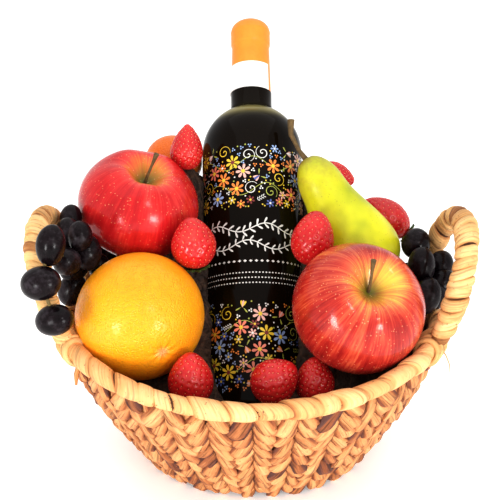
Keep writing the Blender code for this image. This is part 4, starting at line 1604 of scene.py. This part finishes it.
@dataclass
class Print:
    """Ornament printed on the front of the bottle: two fields of flowers and a pale garland."""

    bottle: Bottle
    half_width: float = 0.0500
    waves: float = 170.0
    upper_field: tuple[float, float] = (0.1375, 0.1850)
    lower_field: tuple[float, float] = (0.0120, 0.0740)
    lift: float = 0.00012
    layer_lift: float = 0.00006
    bright: tuple[Ink, ...] = (Ink.YELLOW, Ink.ORANGE, Ink.CORAL, Ink.SKY, Ink.YELLOW, Ink.PINK)
    kinds: tuple[tuple[str, float, int], ...] = (
        ("daisy", 0.0054, 40), ("curl", 0.0050, 50), ("tulip", 0.0044, 60), ("small", 0.0031, 150),
        ("sprig", 0.0036, 200), ("berries", 0.0017, 320), ("dot", 0.0009, 600))
    marks: list[Mark] = field(default_factory=list)
    rng: Random = field(default_factory=lambda: Random(4))

    def stamp(self, shape: str, ink: Ink, place: complex, length: float, width: float,
              turn: float = 0.0, layer: int = 0) -> None:
        """Add a mark."""
        self.marks.append(Mark(shape, ink, place, length, width, turn, layer))

    def daisy(self, place: complex, size: float, petals: int, ink: Ink, heart: Ink) -> None:
        """Open flower of narrow petals round a heart."""
        for k in range(petals):
            turn = 2 * math.pi * k / petals + place.real * 200
            self.stamp("drop", ink, place + rect(size * 0.56, turn), size * 0.88,
                       size * 3.0 / petals, turn, 1)
        self.stamp("disc", heart, place, size * 0.52, size * 0.52, layer=2)

    def tulip(self, place: complex, size: float, turn: float, ink: Ink, tip: Ink) -> None:
        """Bud of three pointed petals over two leaves."""
        for spread, colour, layer in ((-0.42, ink, 1), (0.42, ink, 1), (0.0, tip, 2)):
            angle = turn + spread
            self.stamp("drop", colour, place + rect(size * 0.42, angle), size * 1.15, size * 0.42,
                       angle, layer)
        for angle in (turn + math.pi - 0.9, turn + math.pi + 0.9):
            self.stamp("drop", Ink.OLIVE, place + rect(size * 0.75, angle), size * 0.95,
                       size * 0.26, angle)

    def sprig(self, place: complex, size: float, turn: float, ink: Ink) -> None:
        """Short twig with paired leaves."""
        for k in range(4):
            knot = place + rect(size * (k * 0.45 - 0.7), turn)
            for angle in (turn - 0.75, turn + 0.75):
                self.stamp("drop", ink, knot + rect(size * 0.28, angle), size * 0.58,
                           size * 0.20, angle)

    def curl(self, place: complex, size: float, turn: float, ink: Ink) -> None:
        """Tendril rolled up to its middle."""
        for part in np.linspace(0, 1, 44, endpoint=False):
            angle = turn + 9.0 * part
            thick = 0.00075 - 0.0003 * abs(2 * part - 1)
            self.stamp("disc", ink, place + rect(size * (1 - part) ** 0.8, angle), 0.0010, thick,
                       angle + math.pi / 2)

    def berries(self, place: complex, size: float, ink: Ink) -> None:
        """Three round berries side by side."""
        for k in range(3):
            angle = 2 * math.pi * k / 3 + place.imag * 300
            self.stamp("disc", ink, place + rect(size * 0.55, angle), size * 0.7, size * 0.7)

    def spaced(self, count: int, shift: float = 0.0) -> list[float]:
        """Places spread evenly across the field."""
        return [self.half_width * (2 * (k + 0.5 + shift) / count - 1) for k in range(count)]

    def vine(self, level: float, height: float, phase: float, count: int) -> list[Mark]:
        """Follow a wavy line across the field.

        Args:
            level: Middle height of the line.
            height: Height of its waves.
            phase: Shift of its waves.
            count: Number of marks.

        Returns:
            White strokes along the line.
        """
        found = []
        for x in self.spaced(count):
            angle = x * self.waves + phase
            slope = math.atan(math.cos(angle) * height * self.waves)
            place = complex(x, level + height * math.sin(angle))
            found.append(Mark("disc", Ink.WHITE, place, 0.0014, 0.0009, slope))
        return found

    def flower(self, kind: str, place: complex, size: float) -> None:
        """Add a flower or a smaller ornament in colours drawn by chance.

        Args:
            kind: What it is.
            place: Its middle.
            size: Its radius.
        """
        pick = self.rng.choice
        ink = pick(self.bright)
        turn = self.rng.uniform(0, 2 * math.pi)
        if kind == "daisy":
            self.daisy(place, size, 7, ink, Ink.MAROON if ink is Ink.YELLOW else Ink.YELLOW)
        elif kind == "curl":
            self.curl(place, size, turn, pick((Ink.OLIVE, Ink.YELLOW, Ink.WHITE)))
        elif kind == "tulip":
            self.tulip(place, size, turn, ink, pick((Ink.WHITE, Ink.PINK, Ink.BLUE)))
        elif kind == "small":
            heart = pick((Ink.WHITE, Ink.YELLOW))
            self.daisy(place, size, 6, pick((*self.bright, Ink.MAROON, Ink.BLUE)), heart)
        elif kind == "sprig":
            self.sprig(place, size, turn, pick((Ink.OLIVE, Ink.WHITE, Ink.OLIVE)))
        elif kind == "berries":
            self.berries(place, size, pick((Ink.SKY, Ink.WHITE, Ink.ORANGE)))
        else:
            ink = pick((Ink.WHITE, Ink.YELLOW, Ink.OLIVE))
            self.stamp("disc", ink, place, size * 1.3, size * 1.3)

    def flowers(self, low: float, high: float) -> None:
        """Fill a field with vines and with flowers set apart by chance, the large ones first.

        Args:
            low: Lower edge of the field.
            high: Upper edge of the field.
        """
        for k in range(2):
            line = self.vine(low + (high - low) * (0.3 + 0.4 * k), 0.0045, 1.7 * k + low * 90, 120)
            self.marks += [replace(mark, ink=Ink.OLIVE, width=0.0005) for mark in line]
        taken: list[tuple[complex, float]] = []
        for kind, size, tries in self.kinds:
            for _ in range(tries):
                place = complex(self.rng.uniform(-self.half_width, self.half_width),
                                self.rng.uniform(low + size, high - size))
                if all(abs(place - other) >= 0.92 * (size + reach) for other, reach in taken):
                    taken.append((place, size))
                    self.flower(kind, place, size)

    def garland(self) -> None:
        """Pale leaves on two waves, a row of lozenges and rows of dots between the fields."""
        for level, phase, size in ((0.1240, 0.0, 0.0052), (0.1120, 2.2, 0.0044)):
            self.marks += self.vine(level, 0.0030, phase, 120)
            for knot in self.vine(level, 0.0030, phase, 20):
                for turn in (knot.turn - 0.95, knot.turn + 0.95):
                    self.stamp("drop", Ink.WHITE, knot.place + rect(size * 0.45, turn), size,
                               size * 0.32, turn)
        rows = (("lozenge", 0.1005, 26, 0.0019, 0.0), ("disc", 0.0925, 44, 0.0010, 0.25),
                ("disc", 0.0890, 44, 0.0010, 0.0), ("disc", 0.0855, 44, 0.0010, 0.25))
        for shape, level, count, size, shift in rows:
            for x in self.spaced(count, shift):
                self.stamp(shape, Ink.WHITE, complex(x, level), size * 1.3, size)

    def shapes(self) -> dict[str, Piece]:
        """Models of the flat shapes: a disc, a pointed drop and a lozenge, each of size one."""
        models = {}
        for name, corners in (("disc", 10), ("drop", 10), ("lozenge", 4)):
            start()
            bpy.ops.mesh.primitive_circle_add(vertices=corners, radius=0.5, fill_type="NGON")
            models[name] = bpy.context.object
            models[name].name = "mark_" + name
        def point(points: Array) -> Array:
            taper = (0.78 + 0.9 * points[:, 0]) * np.where(points[:, 0] < -0.3, 0.9, 1.0)
            return points * np.stack([np.ones_like(taper), taper, np.ones_like(taper)], axis=1)

        reshape(models["drop"], point)
        return models

    def rolled(self, points: Array) -> Array:
        """Points of the unrolled print laid on the glass."""
        radius = self.bottle.radius + self.lift + points[:, 2]
        turn = points[:, 0] / self.bottle.radius
        return np.stack([radius * np.sin(turn), -radius * np.cos(turn), points[:, 1]], axis=1)

    def build(self) -> None:
        """Lay out the marks and build one piece for each ink."""
        self.flowers(*self.upper_field)
        self.flowers(*self.lower_field)
        self.garland()
        models = self.shapes()
        for ink in Ink:
            parts = []
            for mark in (mark for mark in self.marks if mark.ink is ink):
                obj = copy_of(models[mark.shape], "mark")
                place = (mark.place.real, mark.place.imag, mark.layer * self.layer_lift)
                obj.data.transform(Matrix.Translation(place)
                                   @ Matrix.Rotation(mark.turn, 4, "Z")
                                   @ Matrix.Diagonal((mark.length, mark.width, 1.0, 1.0)))
                parts.append(obj)
            obj = join(f"print_{ink.name.lower()}", parts)
            reshape(obj, self.rolled)
            obj.data.transform(self.bottle.matrix())
            darker = tuple(channel * 0.80 for channel in ink.value)
            finish = SkinFinish(f"ink_{ink.name.lower()}", tones(darker, ink.value), 0.35,
                                coat=0.3, scale=700.0, relief=0.00003)
            dress(obj, finish.build())
        drop(*models.values())


# Fruit


@dataclass(frozen=True)
class Spot:
    """Where a fruit lies: its middle, its stem axis, its width and its length."""

    centre: Point
    axis: Point
    width: float
    length: float

    def matrix(self) -> Matrix:
        """Matrix that carries the fruit's own Z onto its stem axis."""
        turn = Vector((0, 0, 1)).rotation_difference(Vector(self.axis).normalized())
        return Matrix.Translation(self.centre) @ turn.to_matrix().to_4x4()


def dimpled(points: Array, spot: Spot, top: float, bottom: float, wide: float) -> Array:
    """Unit ball as a round fruit with dimpled poles.

    Args:
        points: Points of the unit ball.
        spot: Size of the fruit.
        top: Depth of the upper dimple.
        bottom: Depth of the lower dimple.
        wide: Width of a dimple as a part of the fruit's width.

    Returns:
        The points of the fruit about its own middle.
    """
    across = np.hypot(points[:, 0], points[:, 1])
    radius = spot.width / 2 * across
    near = np.exp(-((radius / (spot.width * wide)) ** 2))
    height = spot.length / 2 * points[:, 2]
    height = height - np.where(points[:, 2] > 0, top, -bottom) * near
    flat = points[:, :2] * spot.width / 2
    return np.concatenate([flat, height[:, None]], axis=1)


@dataclass
class Citrus:
    """Orange or mandarin."""

    node: str
    spot: Spot
    material: Material
    slot: Slot
    segments: int = 96
    rings: int = 72

    def build(self) -> None:
        """Build the fruit with its uneven peel and the scar at its lower pole."""
        obj = globe(f"{self.node}_fruit", self.segments, self.rings)
        ball = coordinates(obj)
        scar = np.exp(-((ball[:, 2] + 1) / 0.0035) ** 2)
        keep(obj, "scar", scar * 0.75)
        body = dimpled(ball, self.spot, 0.0020, 0.0015, 0.08)
        ribs = np.cos(8 * np.arctan2(ball[:, 1], ball[:, 0]))
        near_pole = np.exp(-((1 - np.abs(ball[:, 2])) / 0.02) ** 2)
        swell = 1 + 0.004 * lumps(body, 0.018, 2.0) + 0.010 * ribs * near_pole
        reshape(obj, lambda _: body * swell[:, None])
        obj.data.transform(self.spot.matrix())
        dress(obj, self.material, (self.node,))


@dataclass
class Apple:
    """Apple with its stem."""

    node: str
    spot: Spot
    stem_tip: Point
    material: Material
    palette: Palette
    patches: tuple[tuple[Point, float, float], ...]
    halo: float = 0.10
    cavity: float = 0.0170
    cavity_reach: float = 0.155
    shaded_pit: float = 0.016
    basin: float = 0.0060
    lobes: int = 5

    def blush(self, ball: Array) -> Array:
        """How far the ground colour shows: round the cavity and in the sunless patches."""
        shown = 0.42 * np.exp(-((1 - ball[:, 2]) / self.halo) ** 2)
        turn = self.spot.matrix().to_3x3().inverted()
        for direction, reach, weight in self.patches:
            own = np.array(turn @ Vector(direction).normalized())
            far = np.linalg.norm(ball - own, axis=1)
            shown = shown + weight * np.exp(-((far / reach) ** 2))
        return shown

    def build(self) -> None:
        """Build the fruit and the stem."""
        obj = globe(f"{self.node}_fruit", 112, 80)
        ball = coordinates(obj)
        around = unit(ball[:, :2] + 1e-9)
        keep(obj, "skin", np.concatenate([around, ball[:, 2:]], axis=1))
        keep(obj, "blush", self.blush(ball))
        # Stem cavity mask: partly the cavity's own green, partly painted shade in the hollow.
        keep(obj, "shaded_pit", 0.95 * np.exp((ball[:, 2] - 1) / self.shaded_pit))
        body = dimpled(ball, self.spot, self.cavity, self.basin, self.cavity_reach)
        low = np.clip(-body[:, 2] / (self.spot.length / 2), 0, None)
        turn = np.arctan2(ball[:, 1], ball[:, 0])
        uneven = 1 + 0.008 * lumps(ball, 0.9, self.spot.centre[0] * 90)
        swell = (1 + 0.018 * np.cos(self.lobes * turn) * low) * (1 - 0.10 * low ** 2) * uneven
        body[:, :2] *= swell[:, None]
        crest = np.exp(-((np.hypot(body[:, 0], body[:, 1]) / self.spot.width - 0.27) / 0.13) ** 2)
        body[:, 2] += 0.0011 * np.cos(self.lobes * turn + 0.8) * crest * (ball[:, 2] > 0)
        reshape(obj, lambda _: body)
        obj.data.transform(self.spot.matrix())
        dress(obj, self.material, (self.node,))
        axis = Vector(self.spot.axis).normalized()
        foot = Vector(self.spot.centre) + axis * (self.spot.length / 2 - self.cavity - 0.002)
        tip = Vector(self.spot.centre) + Vector(self.stem_tip)
        middle = foot.lerp(tip, 0.5) + axis * 0.0012
        line = Path.free([foot, foot.lerp(middle, 0.6) + axis * 0.0006, middle, tip])
        stem = strand(f"{self.node}_stem", line, (0.0013, 0.0009, 0.0009, 0.0018), 12, 16)
        dress(stem, self.palette.stem)


@dataclass
class Pear:
    """Pear leaning on the slope, with its curved stem."""

    palette: Palette
    spot: Spot = Spot((0.0745, 0.0349, 0.1380), (-0.49, 0.33, 0.81), 0.0576, 0.1012)
    low: float = -0.0265
    neck: float = 0.0160
    belly_reach: float = 0.72
    tip_start: float = 0.66
    tip_reach: float = 0.35
    stem_tip: Point = (0.0276, 0.0745, 0.2215)

    def outline(self, level: Array) -> tuple[Array, Array]:
        """Draw the pear's outline.

        Args:
            level: Levels from -1 at its base to 1 at its stem.

        Returns:
            Height and radius at each level.
        """
        high = self.spot.length + self.low
        belly = self.spot.width / 2
        height = self.low + (high - self.low) * (1 + level) / 2
        below = belly * np.sqrt(np.clip(1 - (height / self.low) ** 2, 0, None))
        along = height / high
        shape = 0.5 + 0.5 * np.cos(math.pi * np.clip(along / self.belly_reach, 0, 1))
        past = np.clip(along - self.tip_start, 0, None) / self.tip_reach
        above = self.neck + (belly - self.neck) * shape
        above = above * np.sqrt(np.clip(1 - past ** 2, 0, None))
        return height, np.where(height < 0, below, above)

    def build(self) -> None:
        """Build the fruit and the stem."""
        obj = globe("pear_fruit", 96, 80)
        ball = coordinates(obj)
        height, radius = self.outline(ball[:, 2])
        around = unit(ball[:, :2] + 1e-9) * (np.hypot(ball[:, 0], ball[:, 1]) > 1e-4)[:, None]
        body = np.concatenate([around * radius[:, None], height[:, None]], axis=1)
        body *= 1 + 0.012 * lumps(body, 0.022, 5.0)[:, None]
        level = ball[:, 2]
        ends = np.exp(-((level - 1) / 0.06) ** 2) + 0.7 * np.exp(-((level + 1) / 0.01) ** 2)
        keep(obj, "scar", np.maximum(ends, 0.60 * np.exp(-((level - 1) / 0.40) ** 2)))
        reshape(obj, lambda _: body)
        obj.data.transform(self.spot.matrix())
        dress(obj, self.palette.pear, ("pear",))
        foot = self.spot.matrix() @ Vector((0, 0, self.spot.length + self.low - 0.006))
        tip = Vector(self.stem_tip)
        line = [foot, foot.lerp(tip, 0.35) + Vector((-0.0034, 0, -0.0004)),
                foot.lerp(tip, 0.7) + Vector((-0.0042, 0, -0.0004)), tip]
        stem = strand("pear_stem", Path.free(line), (0.0026, 0.0015, 0.0017, 0.0025), 12, 20)
        dress(stem, self.palette.stem)


@dataclass
class Strawberry:
    """Strawberry with seeds in its dimples; some show their leaves."""

    number: int
    spot: Spot
    palette: Palette
    leafy: bool
    taper: float = 0.20
    seeds: int = 170
    squareness: float = 0.10
    dimple: float = 0.00075

    def profile(self, level: Array) -> tuple[Array, Array]:
        """Radius at levels from -1 to 1: of the rounded ball, and of the tapered berry."""
        across = np.sqrt(np.clip(1 - level ** 2, 0, None)) ** 0.85
        return across, across * (1 - self.taper * level - self.squareness * (2 * level ** 2 - 1))

    def skin(self, ball: Array) -> Array:
        """Points of the skin for points of the unit ball."""
        level = ball[:, 2]
        across, shape = self.profile(level)
        widest = np.max(self.profile(np.linspace(-1, 1, 201))[1])
        radius = shape / widest * self.spot.width / 2
        around = unit(ball[:, :2] + 1e-9) * (across > 1e-3)[:, None]
        found = np.concatenate([around * radius[:, None], level[:, None] * self.spot.length / 2],
                               axis=1)
        return found * (1 + 0.03 * lumps(ball, 1.1, self.number * 3.0))[:, None]

    def seed_places(self) -> Array:
        """Points of the unit ball where the seeds sit, on a spiral."""
        index = np.arange(self.seeds)
        level = 0.93 - 1.80 * (index + 0.5) / self.seeds
        turn = index * math.pi * (3 - math.sqrt(5)) + 0.10 * np.sin(index * 2.3 + self.number)
        level = level + 0.014 * np.sin(index * 3.7 + self.number)
        across = np.sqrt(1 - level ** 2)
        return np.stack([across * np.cos(turn), across * np.sin(turn), level], axis=1)

    def build(self) -> None:
        """Build the flesh, the seeds and the leaves."""
        name = f"strawberry_{self.number}"
        obj = globe(name + "_flesh", 112, 84)
        ball = coordinates(obj)
        body = self.skin(ball)
        places = self.seed_places()
        seats = self.skin(places)
        tree = kdtree.KDTree(len(seats))
        for index, seat in enumerate(seats):
            tree.insert(seat, index)
        tree.balance()
        near = np.array([tree.find(point)[2] for point in body])
        sunk = self.dimple * np.exp(-((near / 0.00095) ** 2)) - 0.00014
        body = body - unit(body * [1, 1, 0.5]) * sunk[:, None]
        reshape(obj, lambda _: body)
        obj.data.transform(self.spot.matrix())
        dress(obj, self.palette.berry, (name,), crease=80.0)
        self.set_seeds(name + "_seeds", places, seats)
        if self.leafy:
            self.crown(name + "_leaves")

    def set_seeds(self, name: str, places: Array, seats: Array) -> None:
        """Set one seed in each dimple.

        Args:
            name: Name of the piece.
            places: Points of the unit ball.
            seats: The same points on the skin.
        """
        model = globe("seed", 8, 6)
        reshape(model, lambda points: points * [0.00026, 0.00044, 0.00020])
        below = self.skin(unit(places - [0, 0, 0.04]))
        parts = []
        for seat, lower in zip(seats, below):
            out = Vector(seat * [1, 1, 0.5]).normalized()
            along = (Vector(seat) - Vector(lower)).normalized()
            across = along.cross(out).normalized()
            obj = copy_of(model, "seed")
            centre = Vector(seat) - out * (self.dimple - 0.00040)
            obj.data.transform(self.spot.matrix() @ facing(across, out.cross(across), out, centre))
            parts.append(obj)
        drop(model)
        dress(join(name, parts), self.palette.seed)

    def crown(self, name: str) -> None:
        """Lay pointed leaves on the shoulder of the berry.

        Args:
            name: Name of the piece.
        """
        model = strip("sepal", 5, 7)

        def shape(points: Array) -> Array:
            part = (points[:, 1] + 1) / 2
            width = 0.22 * np.sin(np.clip(part + 0.12, 0, 1) * math.pi) ** 0.7
            return np.stack([points[:, 0] * width, part * 0.62,
                             0.10 * np.sin(part * 2.6) - 0.12 * points[:, 0] ** 2], axis=1)

        reshape(model, shape)
        parts = []
        count = 9
        for k in range(count):
            obj = copy_of(model, "sepal")
            scale = self.spot.width * (0.50 if k % 2 else 0.42)
            lower = Matrix.Translation((0, 0, -self.spot.length / 2 - 0.0006))
            turn = Matrix.Rotation(2 * math.pi * k / count, 4, "Z")
            flip = Matrix.Rotation(math.pi, 4, "Y")
            obj.data.transform(self.spot.matrix() @ lower @ turn @ flip @ Matrix.Scale(scale, 4))
            parts.append(obj)
        drop(model)
        crown = join(name, parts)
        thicken(crown, 0.0004)
        dress(crown, self.palette.sepal)


@dataclass
class Bunch:
    """Bunch of oval grapes on thin stalks."""

    side: Side
    spots: tuple[Spot, ...]
    palette: Palette

    def grape(self, model: Piece, spot: Spot, seed: float) -> Piece:
        """Copy the model grape to its place, a little uneven."""
        obj = copy_of(model, "grape")
        ball = coordinates(obj)
        uneven = 1 + 0.025 * lumps(ball, 0.9, seed)
        size = [spot.width / 2, spot.width / 2, spot.length / 2]
        reshape(obj, lambda points: points * size * uneven[:, None])
        obj.data.transform(spot.matrix())
        return obj

    def stalks(self) -> list[Piece]:
        """Stalks from grape to grape, each to its nearest neighbour in the bunch."""
        centres = [Vector(spot.centre) for spot in self.spots]
        joined = [0]
        parts = []
        while len(joined) < len(centres):
            inside, outside = min(
                ((i, j) for i in joined for j in range(len(centres)) if j not in joined),
                key=lambda pair: (centres[pair[0]] - centres[pair[1]]).length)
            joined.append(outside)
            middle = centres[inside].lerp(centres[outside], 0.5) + Vector((0, 0, 0.0015))
            line = Path.free([centres[inside], middle, centres[outside]])
            parts.append(strand("stalk", line, (0.0009, 0.0011, 0.0009), 8, 8))
        return parts

    def build(self) -> None:
        """Build the grapes and the stalks."""
        name = f"grapes_{self.side.name.lower()}"
        model = globe("grape_model", 36, 26)
        parts = [self.grape(model, spot, index * 1.7) for index, spot in enumerate(self.spots)]
        drop(model)
        dress(join(name + "_berries", parts), self.palette.grape, (name,))
        dress(join(name + "_stalks", self.stalks()), self.palette.stalk)


STRAWBERRY_SPOTS = (
    Spot((-0.0452, 0.0682, 0.2038), (0.05, 0.19, 0.98), 0.0226, 0.0316),
    Spot((-0.0379, 0.0024, 0.1578), (-0.10, 0.09, 0.99), 0.0294, 0.0336),
    Spot((-0.0378, -0.0540, 0.0890), (0.00, 0.09, 1.00), 0.0284, 0.0350),
    Spot((0.0403, 0.0078, 0.1589), (0.19, 0.18, 0.96), 0.0282, 0.0362),
    Spot((0.0148, -0.0542, 0.0880), (0.74, 0.00, 0.67), 0.0284, 0.0314),
    Spot((0.0400, -0.0458, 0.0832), (0.00, 0.19, 0.98), 0.0250, 0.0304),
    Spot((0.0964, 0.0693, 0.1512), (-0.80, 0.32, 0.52), 0.0268, 0.0385),
    Spot((0.0606, 0.0798, 0.1790), (0.94, -0.22, -0.25), 0.0196, 0.0280),
)
LEAFY_STRAWBERRIES = (2, 7)

GRAPES_LEFT = (
    Spot((-0.1193, 0.0165, 0.1690), (0.1, 0.5, 0.9), 0.0150, 0.0196),
    Spot((-0.1187, 0.0010, 0.1643), (0.0, 0.3, 1.0), 0.0168, 0.0220),
    Spot((-0.1193, -0.0460, 0.1752), (0.15, 0.2, 1.0), 0.0175, 0.0255),
    Spot((-0.1168, -0.0168, 0.1525), (0.1, -0.9, 0.5), 0.0182, 0.0240),
    Spot((-0.1248, -0.0560, 0.1550), (0.9, -0.3, 0.3), 0.0205, 0.0255),
    Spot((-0.1182, -0.0580, 0.1318), (0.9, -0.3, 0.3), 0.0190, 0.0250),
    Spot((-0.1062, -0.0030, 0.1530), (0.0, 0.3, 1.0), 0.0184, 0.0240),
    Spot((-0.1190, 0.0020, 0.1245), (0.5, 0.2, 1.0), 0.0184, 0.0230),
    Spot((-0.1160, 0.0010, 0.1415), (0.6, 0.5, 0.7), 0.0180, 0.0220),
    Spot((-0.1190, 0.0230, 0.1370), (0.2, 0.5, 0.8), 0.0190, 0.0240),
    Spot((-0.1035, 0.0185, 0.1350), (0.1, 0.3, 0.9), 0.0150, 0.0168),
    Spot((-0.1095, -0.0066, 0.1655), (0.0, 0.2, 1.0), 0.0160, 0.0205),
    Spot((-0.1030, 0.0520, 0.1310), (0.2, 0.5, 0.8), 0.0170, 0.0180),
)
GRAPES_RIGHT = (
    Spot((0.1128, 0.0320, 0.1455), (0.3, 0.3, 0.9), 0.0198, 0.0214),
    Spot((0.1130, 0.0090, 0.1385), (0.05, 0.2, 1.0), 0.0182, 0.0260),
    Spot((0.1290, 0.0230, 0.1320), (0.2, 0.4, 0.8), 0.0178, 0.0230),
    Spot((0.1270, 0.0090, 0.1250), (0.6, 0.2, 0.6), 0.0178, 0.0230),
    Spot((0.1155, -0.0050, 0.1235), (0.15, 0.2, 1.0), 0.0184, 0.0250),
    Spot((0.1070, -0.0125, 0.1050), (0.1, 0.2, 1.0), 0.0160, 0.0220),
    Spot((0.1150, 0.0210, 0.1290), (0.3, 0.8, 0.4), 0.0190, 0.0240),
    Spot((0.1080, 0.0250, 0.1225), (0.1, 0.3, 0.9), 0.0180, 0.0220),
    Spot((0.1210, 0.0000, 0.1208), (0.3, 0.9, 0.3), 0.0176, 0.0200),
)


@dataclass
class FruitPile:
    """All the fruit that lies in the basket."""

    palette: Palette

    def build(self) -> None:
        """Build every fruit in its place."""
        orange = Spot((-0.0722, -0.0177, 0.1144), (-0.44, 0.88, 0.20), 0.0838, 0.0808)
        Citrus("orange", orange, self.palette.orange, Slot.ORANGE).build()
        mandarin = Spot((-0.0575, 0.1005, 0.1834), (0.21, 0.06, 0.98), 0.0421, 0.0391)
        Citrus("mandarin", mandarin, self.palette.mandarin, Slot.MANDARIN, 72, 54).build()
        left = Spot((-0.0776, 0.0430, 0.1692), (0.27, -0.30, 0.91), 0.0828, 0.0735)
        Apple("apple_left", left, (0.0148, -0.0085, 0.0392), self.palette.apple_dark, self.palette,
              (((0.55, 0.75, -0.1), 0.35, 0.16), ((0.35, 0.10, 0.93), 0.42, 0.14))).build()
        right = Spot((0.0668, -0.0332, 0.1278), (0.20, -0.60, 0.77), 0.0838, 0.0765)
        Apple("apple_right", right, (0.0052, -0.0190, 0.0402), self.palette.apple_striped,
              self.palette, (((-0.44, 0.20, 0.89), 0.36, 0.22), ((0.60, -0.40, 0.70), 0.42, 0.30),
                             ((0.2, 0.9, 0.1), 0.60, 0.25)), 0.13).build()
        Pear(self.palette).build()
        for number, spot in enumerate(STRAWBERRY_SPOTS, start=1):
            taper = 0.36 if number == 1 else 0.20
            Strawberry(number, spot, self.palette, number in LEAFY_STRAWBERRIES, taper).build()
        Bunch(Side.LEFT, GRAPES_LEFT, self.palette).build()
        Bunch(Side.RIGHT, GRAPES_RIGHT, self.palette).build()


# Studio


@dataclass
class Studio:
    """Pale floor, soft lights and the camera."""

    eye: Point = (-0.0010, -0.5430, 0.3730)
    target: Point = (0.0, 0.0, 0.12)
    pitch: float = math.radians(68)
    lens: float = 64.87
    floor_size: float = 8.0
    floor_glow: float = 0.24
    sky_strength: float = 0.92
    exposure: float = 0.12
    contrast: float = 0.84

    def floor(self) -> None:
        """Lay the pale floor."""
        start()
        bpy.ops.mesh.primitive_plane_add(size=self.floor_size, location=(0, 0, 0))
        floor = bpy.context.object
        floor.name = "floor"
        finish = SkinFinish("pale_floor", tones((0.92, 0.92, 0.91), (0.95, 0.95, 0.94)), 0.8,
                            gloss=0.1, scale=2.0, relief=0.0001)
        material = finish.build()
        glow = material.node_tree.nodes["Principled BSDF"].inputs
        glow["Emission Color"].default_value = (1.0, 1.0, 1.0, 1.0)
        glow["Emission Strength"].default_value = self.floor_glow
        floor.data.materials.append(material)

    def light(self, name: str, place: Point, size: float, power: float) -> None:
        """Hang one soft light that points at the basket.

        Args:
            name: Name of the light.
            place: Where it hangs.
            size: Side of its square.
            power: Power in watts.
        """
        lamp = bpy.data.lights.new(name, "AREA")
        lamp.size = size
        lamp.energy = power
        obj = bpy.data.objects.new(name, lamp)
        obj.location = place
        ahead = Vector(self.target) - Vector(place)
        obj.rotation_euler = ahead.to_track_quat("-Z", "Y").to_euler()
        bpy.context.scene.collection.objects.link(obj)

    def sky(self) -> None:
        """Light everything evenly from a white sky."""
        world = bpy.data.worlds.new("studio")
        world.use_nodes = True
        background = world.node_tree.nodes["Background"]
        background.inputs["Color"].default_value = (1.0, 1.0, 1.0, 1.0)
        background.inputs["Strength"].default_value = self.sky_strength
        bpy.context.scene.world = world
        view = bpy.context.scene.view_settings
        view.view_transform = "Standard"
        view.exposure = self.exposure
        view.gamma = self.contrast

    def camera(self) -> None:
        """Set the camera at the view of the basket from its front and above."""
        lens = bpy.data.cameras.new("camera")
        lens.lens = self.lens
        lens.sensor_width = 36.0
        lens.clip_start = 0.01
        obj = bpy.data.objects.new("camera", lens)
        obj.location = self.eye
        obj.rotation_euler = (self.pitch, 0.0, 0.0)
        bpy.context.scene.collection.objects.link(obj)
        bpy.context.scene.camera = obj

    def build(self) -> None:
        """Build the whole studio."""
        self.floor()
        self.light("left", (-0.62, -0.92, 0.18), 0.25, 5.0)
        self.light("right", (0.62, -0.92, 0.16), 0.25, 5.0)
        self.light("upper", (0.42, -0.80, 0.68), 0.16, 1.2)
        self.light("top", (0.0, 0.10, 1.50), 2.00, 7.0)
        self.sky()
        self.camera()


def main() -> None:
    """Build the basket, what lies in it and the studio."""
    logging.basicConfig(level=logging.INFO, format="%(name)s: %(message)s")
    Studio().build()
    palette = Palette()
    plan = BasketPlan()
    Weave(plan, palette).build()
    Rim(plan, palette).build()
    for side in Side:
        Handle(side, plan, palette).build()
    LooseStrands(palette).build()
    Packing(palette).build()
    Bottle(palette).build()
    FruitPile(palette).build()


if __name__ == "__main__":
    main()
